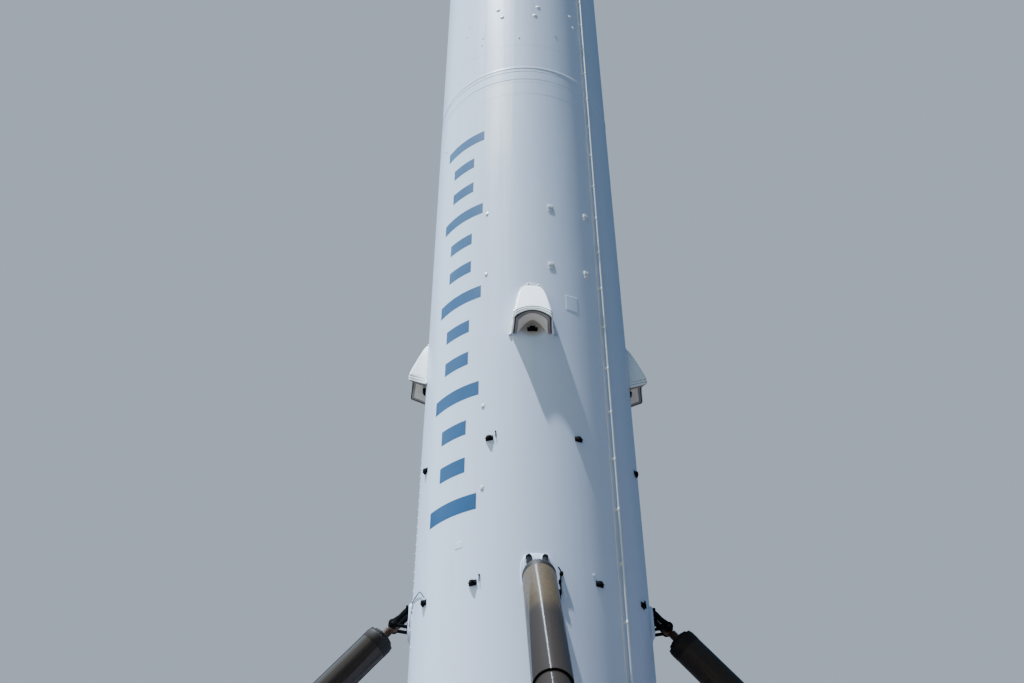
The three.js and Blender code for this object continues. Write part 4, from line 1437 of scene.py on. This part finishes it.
# base shield's strips, the cloth boots round the engines, and the engines

base = {
    "strips": (0.235, 0.868), "rings": (0.30, 0.862), "half": (0.014, 0.012), "drop": 0.004,
    "rivets": 13, "rivetAt": 0.26, "rivetPitch": 0.046,
    # radius, and height from the shield
    "bootTop": ((0.1125, -seat), (0.152, -seat), (0.154, -0.003), (0.150, -0.006)),
    "folds": 4, "foldPitch": 0.009,
    "fold": ((0.138, -0.007), (0.146, -0.010), (0.146, -0.012), (0.138, -0.015)),
    "bootInside": ((0.134, -0.045), (0.131, -0.044), (0.131, -0.006), (0.1125, -0.003)),
}
engine = {
    "circle": 0.680, "count": 8, "exitR": 0.225, "exitZ": 0.950, "throatR": 0.060, "throatZ": 1.490,
    "wall": 0.008, "pivotZ": 1.660, "steps": 72, "bellSteps": 24, "fullness": 0.6,
    # radius, and height from the throat
    "chamber": ((0.064, 0.012), (0.078, 0.040), (0.082, 0.050), (0.082, 0.085), (0.088, 0.090),
                (0.088, 0.100), (0.082, 0.104), (0.080, 0.122), (0.070, 0.135), (0, 0.135)),
    "injector": ((0, 0.110), (0.066, 0.110), (0.066, 0.055), (0.052, 0.004)),
    # closes the view through the base shield's hole
    "collar": ((0.078, 0.066), (0.128, 0.066), (0.130, 0.068), (0.128, 0.072), (0.078, 0.072)),
    # share of the way up from the lip, and rise
    "bands": ((0.05, 0.005), (0.30, 0.006), (0.55, 0.006), (0.78, 0.006)),
    "manifoldR": 0.083, "manifoldZ": -0.017, "manifold": 0.010,
    "feed": ((0.080, 0, -0.012), (0.074, -0.008, 0.030), (0.078, -0.012, 0.070), (0.066, -0.015, 0.100)),
    # sideways, and height from the pivot
    "head": ((-0.025, -0.05), (0.025, -0.05), (0.025, 0), (0.018, 0.018), (0, 0.024), (-0.018, 0.018),
             (-0.025, 0)),
}
enginePlaces = {"centre": Matrix(), **{
    str(k + 1): spun(360 / engine["count"] * k, "Z") @ moved(0, -engine["circle"], 0)
    for k in range(engine["count"])}}


def makeBase():
    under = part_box("base_heat_shield")[0].z
    low, high = under - base["drop"], under + 0.001
    half, ringHalf = base["half"]
    near, far = base["strips"]
    strip = block((-half, -far, low), (half, -near, high + 0.001), 0.0015, 1)
    pieces = [repeated(strip, [spun(azimuth, "Z") for azimuth in eighths])]
    for radius in base["rings"]:
        near, far = radius - ringHalf, radius + ringHalf
        section = [(near, high), (near, low), (far, low), (far, high)]
        pieces.append(turned(closed(section), 128))
    rivets = [spun(azimuth, "Z") @ moved(0, -base["rivetAt"] - base["rivetPitch"] * k, low)
              @ spun(90, "X") for azimuth in eighths for k in range(base["rivets"])]
    pieces.append(repeated(boltHead(0.005, 0.004, 6), rivets))
    finished(smooth(joined(pieces)), "baseStrips", "baseShield")
    folds = [(r, z - base["foldPitch"] * k) for k in range(base["folds"]) for r, z in base["fold"]]
    profile = [(r, under + z) for r, z in (*base["bootTop"], *folds, *base["bootInside"])]
    places = [moved(*place.translation) for place in enginePlaces.values()]
    boots = repeated(turned(closed(profile), 48), places)
    finished(smooth(boots, 50), "engineBoots", "bootCloth")


def bellPlace(down):
    # radius and height on the bell's outside, by the share of the way down from the throat
    throatR, throatZ = engine["throatR"], engine["throatZ"]
    return (throatR + (engine["exitR"] - throatR) * down ** engine["fullness"],
            throatZ - (throatZ - engine["exitZ"]) * down)


def fromThroat(kind):
    return [(*place, engine["throatZ"] + z) for *place, z in engine[kind]]


def makeEngines():
    wall, steps, throat = engine["wall"], engine["steps"], engine["throatZ"]
    outer = [bellPlace(1 - step / engine["bellSteps"]) for step in range(engine["bellSteps"] + 1)]
    inner = [(r - wall, z) for r, z in reversed(outer)]
    lip = [(outer[0][0] - wall / 2, outer[0][1])]
    pieces = [turned(fromThroat("injector") + inner + lip + outer + fromThroat("chamber"), steps)]
    angles = [2 * pi * k / 40 for k in range(34)]
    around, height = engine["manifoldR"], throat + engine["manifoldZ"]
    pieces.append(piped([xyz(around * cos(a), around * sin(a), height) for a in angles],
                        engine["manifold"], 10))
    pieces.append(piped(curved([xyz(*place) for place in fromThroat("feed")]), 0.007, 10))
    pieces.append(turned(closed(fromThroat("collar")), steps))
    for at, rise in engine["bands"]:
        r, z = bellPlace(1 - at)
        band = [(r - 0.003, z - 0.009), (r + rise, z - 0.007), (r + rise, z + 0.007),
                (r - 0.006, z + 0.009), (r - 0.006, z - 0.009)]
        pieces.append(turned(band, steps))
    head = [[xyz(x, y, engine["pivotZ"] + lift) for y, lift in engine["head"]] for x in (-0.020, 0.020)]
    whole = smooth(joined([*pieces, lofted(head)]))
    for name, place in enginePlaces.items():
        body = "centre_engine_body" if name == "centre" else f"engine_body_{name}"
        finished(copied(whole, place), f"nozzle_{name}", "bellMetal", body,
                 [f"engine_{name}"])
    removed(whole)


makeBase()
makeEngines()
print("engines made")


# interstage: an open tube with ring frames and stringers inside

tube = {
    "wall": 0.016, "flange": 0.022, "frames": (24.35, 23.65, 22.95, 22.25), "frameDeep": 0.030,
    "stringers": 32,
    "seams": (21.66, 24.66), "boltRows": (21.62, 21.70, 24.62, 24.74), "boltPitch": 2.5,
    "vents": ((22.0, 22.6), (112.0, 22.6), (202.0, 22.6), (292.0, 22.6), (68.0, 23.3), (248.0, 23.3)),
    "ventHalf": 3.2, "ventHigh": 0.16,
    "domeCap": ((0, 21.962), (0.14, 21.955), (0.15, 21.950), (0.15, 21.925), (0, 21.915)),
    "domeLine": (0.14, 0.24, 0.36, 0.48, 0.60, 0.70, 0.78), "line": 0.012,
}


def domeHeight(r):
    low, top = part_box("interstage")[0].z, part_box("oxidizer_tank")[1].z
    return low + (top - low) * sqrt(max(0.0, 1 - (r / (skinRadius - joint["domeInset"])) ** 2))


def makeInterstage():
    low, high = (end.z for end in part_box("interstage"))
    inside = skinRadius - tube["wall"]
    deep, flange = inside - tube["frameDeep"], inside - tube["flange"]
    profile = [(inside, low)] + onWall([(low, -0.003), (low + 0.003, 0)])
    for seam in tube["seams"]:
        profile += onWall([(seam - 0.004, 0), (seam - 0.002, -0.003), (seam + 0.002, -0.003),
                           (seam + 0.004, 0)])
    profile += onWall([(high - 0.004, 0), (high, -0.004)])
    profile += [(flange, high), (flange, high - 0.012), (inside, high - 0.014)]
    for at in tube["frames"]:
        profile += [(inside, at + 0.012), (deep, at + 0.010), (deep, at - 0.010), (inside, at - 0.012)]
    finished(smooth(turned(closed(profile), 256)), "interstageTube", "tankPaint",
             replaces=["interstage"])
    stringer = block((-0.006, -inside - 0.002, low + 0.05), (0.006, -inside + 0.020, high - 0.02),
                     0.003, 1)
    places = [spun(360 / tube["stringers"] * (k + 0.5), "Z") for k in range(tube["stringers"])]
    finished(repeated(stringer, places), "interstageStringers", "fittingPaint")
    rows = [spot(tube["boltPitch"] * k, height) for height in tube["boltRows"]
            for k in range(int(360 / tube["boltPitch"]))]
    bolted(0.004, 0.004, 6, rows, "interstageBolts", "fittingPaint")
    half = tube["ventHalf"]
    vents = [bevelled(skinPatch((a - half, a + half), (z, z + tube["ventHigh"]), 0.010), 0.004)
             for a, z in tube["vents"]]
    finished(smooth(joined(vents)), "interstageVents", "fittingPaint")
    route = [xyz(0, -r, domeHeight(r) + tube["line"]) for r in tube["domeLine"]]
    line = piped(curved(route, 4), tube["line"])
    lines = repeated(line, [spun(90 * k + 45, "Z") for k in range(4)])
    finished(smooth(joined([turned(tube["domeCap"], 48), lines])), "domeLines", "zinc")


makeInterstage()


# rear raceway and the thruster pods

raceway = {
    "azimuth": 225.0, "half": 0.062, "high": 0.058, "nose": 0.15, "pitch": 1.5,
    "strapHalf": (5.0, 0.03), "boltAside": 4.5, "boltPitch": 0.19,
}
pods = {
    "azimuths": {"right": 45.0, "left": 225.0}, "half": 0.126, "low": 23.94, "high": 24.36, "out": 0.106,
    # distance from the end, and shares of the depth and the width
    "ends": ((0, 0.42, 0.82), (0.03, 0.75, 0.94), (0.07, 1, 1)),
    "sideJet": ((0.008, 0), (0.012, 0.004), (0.020, 0.026), (0.0225, 0.027), (0.0225, 0.022),
                (0.014, -0.002), (0.008, 0)),
    "faceJet": ((0.008, 0), (0.012, 0.004), (0.019, 0.020), (0.0215, 0.0205), (0.0215, 0.016),
                (0.014, -0.004), (0.008, 0)),
    "sideJets": (24.06, 24.24), "faceJets": (24.08, 24.22), "boltAside": 8.6, "boltPitch": 0.066,
    "bolts": 6,
}


def coverRing(z, lift, half):
    # a round-shouldered section, from the skin out and back
    ring = [xyz(-half, 0.02, z), xyz(-half, -lift * 0.55, z)]
    for bend in (pi / 8 * step for step in range(5)):
        ring.append(xyz(half * 0.35 * (1 - cos(bend)) - half, -lift * (0.55 + 0.45 * sin(bend)), z))
    return ring + [xyz(-p.x, p.y, p.z) for p in reversed(ring)]


def makeRaceway():
    low, high = (end.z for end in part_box("rear_raceway"))
    azimuth, half, lift, nose = (raceway[name] for name in ("azimuth", "half", "high", "nose"))
    edges = [low + 0.002]
    while edges[-1] + 1.5 * raceway["pitch"] < high:
        edges.append(edges[-1] + raceway["pitch"])
    edges.append(high - 0.002)
    covers = []
    for start, end in zip(edges, edges[1:]):
        foot = [(start + 0.002, lift, half - 0.002), (start + 0.004, lift, half)]
        head = [(end - 0.004, lift, half), (end - 0.002, lift, half - 0.002)]
        if start == edges[0]:
            foot = [(start, 0.010, half - 0.010), (start + nose, lift, half)]
        if end == edges[-1]:
            head = [(end - nose, lift, half), (end, 0.010, half - 0.010)]
        covers.append(lofted([coverRing(*ring) for ring in foot + head]))
    piece = placed(joined(covers), spot(azimuth, 0))
    finished(smooth(piece), "racewayCovers", "fittingPaint", replaces=["rear_raceway"])
    wide, tall = raceway["strapHalf"]
    straps = [skinPatch((azimuth - wide, azimuth + wide), (edge - tall, edge + tall), 0.004, steps=8)
              for edge in edges[1:-1]]
    bolts = [spot(azimuth + aside, low + 0.2 + raceway["boltPitch"] * k)
             for aside in (-raceway["boltAside"], raceway["boltAside"])
             for k in range(int((high - low - 0.3) / raceway["boltPitch"]))]
    straps.append(repeated(boltHead(0.006, 0.006, 6), bolts))
    finished(smooth(joined(straps)), "racewayStraps", "zinc")


def makePods():
    low, high, out, half = (pods[name] for name in ("low", "high", "out", "half"))
    foot = [(low + inwards, out * depth, half * width) for inwards, depth, width in pods["ends"]]
    head = [(high - inwards, out * depth, half * width)
            for inwards, depth, width in reversed(pods["ends"])]
    shell = placed(lofted([coverRing(*ring) for ring in foot + head]), moved(0, -skinRadius, 0))
    aims = [moved(side * (half - 0.015), -skinRadius - 0.045, height) @ spun(90 * side, "Y")
            for height in pods["sideJets"] for side in (-1, 1)]
    ahead = [moved(0, -skinRadius - out + 0.009, height) @ spun(90, "X") for height in pods["faceJets"]]
    jets = joined([repeated(turned(pods["sideJet"], 24), aims),
                   repeated(turned(pods["faceJet"], 24), ahead)])
    bolts = [spot(aside, low + 0.04 + pods["boltPitch"] * k) for k in range(pods["bolts"])
             for aside in (pods["boltAside"], -pods["boltAside"])]
    heads = repeated(boltHead(0.006, 0.006, 6), bolts)
    for side, azimuth in pods["azimuths"].items():
        finished(smooth(copied(shell, spun(azimuth, "Z"))), f"podShell_{side}", "fittingPaint",
                 replaces=[f"thruster_pod_{side}"])
    for side, azimuth in pods["azimuths"].items():
        finished(smooth(copied(jets, spun(azimuth, "Z"))), f"podJets_{side}", "zinc")
        finished(copied(heads, spun(azimuth, "Z")), f"podBolts_{side}", "zinc")
    removed(shell, jets, heads)


makeRaceway()
makePods()
print("interstage and services made")


# grid fins: outline of (outwards, sideways) at azimuth 0, webs on both diagonals

fin = {
    "z": 22.050, "hingeR": 1.080, "root": 0.095, "long": 0.620, "half": 0.300, "corner": 0.150,
    "rootHalf": 0.110, "chord": 0.094, "frame": 0.007, "post": 0.0065, "web": 0.0022, "pitch": 0.0775,
    "webs": 9, "sharp": 0.7,
    # radius, and distance from the fin's root
    "hub": ((0.031, 0), (0.044, 0), (0.048, 0.004), (0.048, 0.018), (0.044, 0.022), (0.044, 0.070),
            (0.038, 0.094), (0, 0.095), (0, 0.080), (0.031, 0.080), (0.031, 0)),
    # from and to (outwards from the root, sideways), and distance from the faces
    "stays": (((0.004, 0.044), (0.22, 0.14), 0.006), ((0.088, 0.02), (0.30, 0.02), 0.010)),
    "yokeHub": ((0.019, -0.045), (0.039, -0.045), (0.042, -0.042), (0.042, 0.042), (0.039, 0.045),
                (0.019, 0.045), (0.019, -0.045)),
    "shaft": ((0, 0), (0.030, 0), (0.030, 0.120), (0.027, 0.123), (0, 0.123)),
    # outwards and upwards from the hinge
    "cheek": ((-0.190, -0.108), (-0.020, -0.058), (0.024, -0.030), (0.040, -0.012), (0.040, 0.012),
              (0.024, 0.030), (-0.020, 0.043), (-0.190, 0.045)),
    "cheekSpan": (0.051, 0.073), "boltAside": 0.086, "boltLifts": (-0.095, -0.045, 0.005, 0.055),
}
finRoot = fin["hingeR"] + fin["root"]
finMiddle = Vector((finRoot + fin["long"] / 2, 0))


def finOutline(inset):
    near, far = finRoot + inset, finRoot + fin["long"] - inset
    corner, half, root = near + fin["corner"] - inset, fin["half"] - inset, fin["rootHalf"]
    return [Vector(place) for place in (
        (near, -root), (corner, -half), (far, -half), (far, half), (corner, half), (near, root))]


def finEdges(inset):
    # the outline's edges, each with the direction that points inwards
    outline = finOutline(inset)
    for start, end in zip(outline, outline[1:] + outline[:1]):
        run = (end - start).normalized()
        inward = Vector((-run.y, run.x))
        yield start, end, inward if inward.dot(finMiddle - start) > 0 else -inward


def clipped(start, run):
    # the stretch of a diagonal that lies inside the frame, as two distances along the run
    enter, leave = -10.0, 10.0
    for corner, _, inward in finEdges(fin["frame"]):
        rate = inward.dot(run)
        cross = inward.dot(corner - start) / rate
        if rate > 0:
            enter = max(enter, cross)
        else:
            leave = min(leave, cross)
    return (enter, leave) if leave - enter > 0.01 else None


def webPlate(start, end, thick, low, high, sharp=0.0):
    # an upright plate between two (outwards, sideways) places, thinned at its lower edge
    run = (end - start).normalized()
    side = Vector((-run.y, run.x)) * thick
    section = ((1, high), (-1, high), (-1, low + 0.012), (sharp - 1, low), (1 - sharp, low),
               (1, low + 0.012))
    return lofted([[xyz(*(point + side * share), z) for share, z in section] for point in (start, end)])


def makeFins():
    z, frame = fin["z"], fin["frame"]
    low, high = z - fin["chord"] / 2, z + fin["chord"] / 2
    pieces = []
    for direction in (Vector((1, 1)).normalized(), Vector((1, -1)).normalized()):
        across = Vector((-direction.y, direction.x))
        for k in range(-fin["webs"], fin["webs"] + 1):
            start = finMiddle + across * (k * fin["pitch"])
            stretch = clipped(start, direction)
            if stretch:
                near, far = (start + direction * reach for reach in stretch)
                pieces.append(webPlate(near, far, fin["web"], low + 0.004, high - 0.004, fin["sharp"]))
    for start, end, inward in finEdges(0.0):
        shift = inward * frame * 0.55
        pieces.append(bevelled(webPlate(start + shift, end + shift, frame * 0.5, low, high), 0.002))
        x, y = start + (finMiddle - start).normalized() * frame
        pieces.append(rod((x, y, low), (x, y, high), fin["post"], 12))
    pieces.append(turned(fin["hub"], 40, moved(finRoot, 0, z) @ spun(90, "Y")))
    for start, end, inset in fin["stays"]:
        for sign in (-1, 1):
            near, far = (Vector((finRoot + x, sign * y)) for x, y in (start, end))
            pieces.append(webPlate(near, far, 0.004, low + inset, high - inset))
    whole = placed(smooth(joined(pieces)), radial)
    onEachSide(whole, "finLattice", "castAlloy", "fin_body_{}", "grid_fin_{}")


def makeFinMounts():
    # yoke, seat and their pins, at azimuth 0 with +X outwards until they are turned
    z, x = fin["z"], fin["hingeR"]
    yoke = joined([
        turned(fin["yokeHub"], 40, moved(x, 0, z) @ spun(90, "X")),
        block((x + 0.030, -0.044, z - 0.038), (finRoot - 0.009, 0.044, z + 0.038), 0.006, 3),
        turned(fin["shaft"], 40, moved(x + 0.042, 0, z) @ spun(90, "Y"))])
    whole = placed(smooth(yoke), radial)
    onEachSide(whole, "finYoke", "castAlloy", "fin_yoke_body_{}", "fin_yoke_{}")
    pieces = [block((0.880, -0.098, z - 0.120), (skinRadius + 0.040, 0.098, z + 0.075), 0.008, 3)]
    cheek = [(x + out, z + lift) for out, lift in fin["cheek"]]
    pins = [rod((x, -0.079, z), (x, 0.079, z), 0.018, 24, 0.002)]
    bolts = []
    for side in (-1, 1):
        pieces.append(slab(cheek, legLay, *sorted(side * y for y in fin["cheekSpan"]), 0.003))
        pins.append(rod((x, side * 0.0735, z), (x, side * 0.083, z), 0.027, 6, 0.002))
        bolts += [moved(skinRadius + 0.038, side * fin["boltAside"], z + lift) @ spun(90, "Z")
                  for lift in fin["boltLifts"]]
    whole = placed(smooth(joined(pieces)), radial)
    onEachSide(whole, "finSeat", "fittingPaint", node="fin_base_{}")
    pins.append(repeated(boltHead(0.007, 0.008, 6), bolts))
    onEachSide(placed(smooth(joined(pins)), radial), "finPins", "zinc")


makeFins()
makeFinMounts()
print("fins made")


# what stays of the CAD model gets its finish

looks = {"white_paint": "tankPaint", "heat_shield": "baseShield", "fitting_steel": "zinc"}
slotNames = {part["node"]: part["material_slot"] for part in frame["record"]["subparts"]}
for name, node in frame["nodes"].items():
    if not node.hide_render:
        node.data.materials.clear()
        node.data.materials.append(finishes[looks[slotNames[name]]])
        print("kept", name)
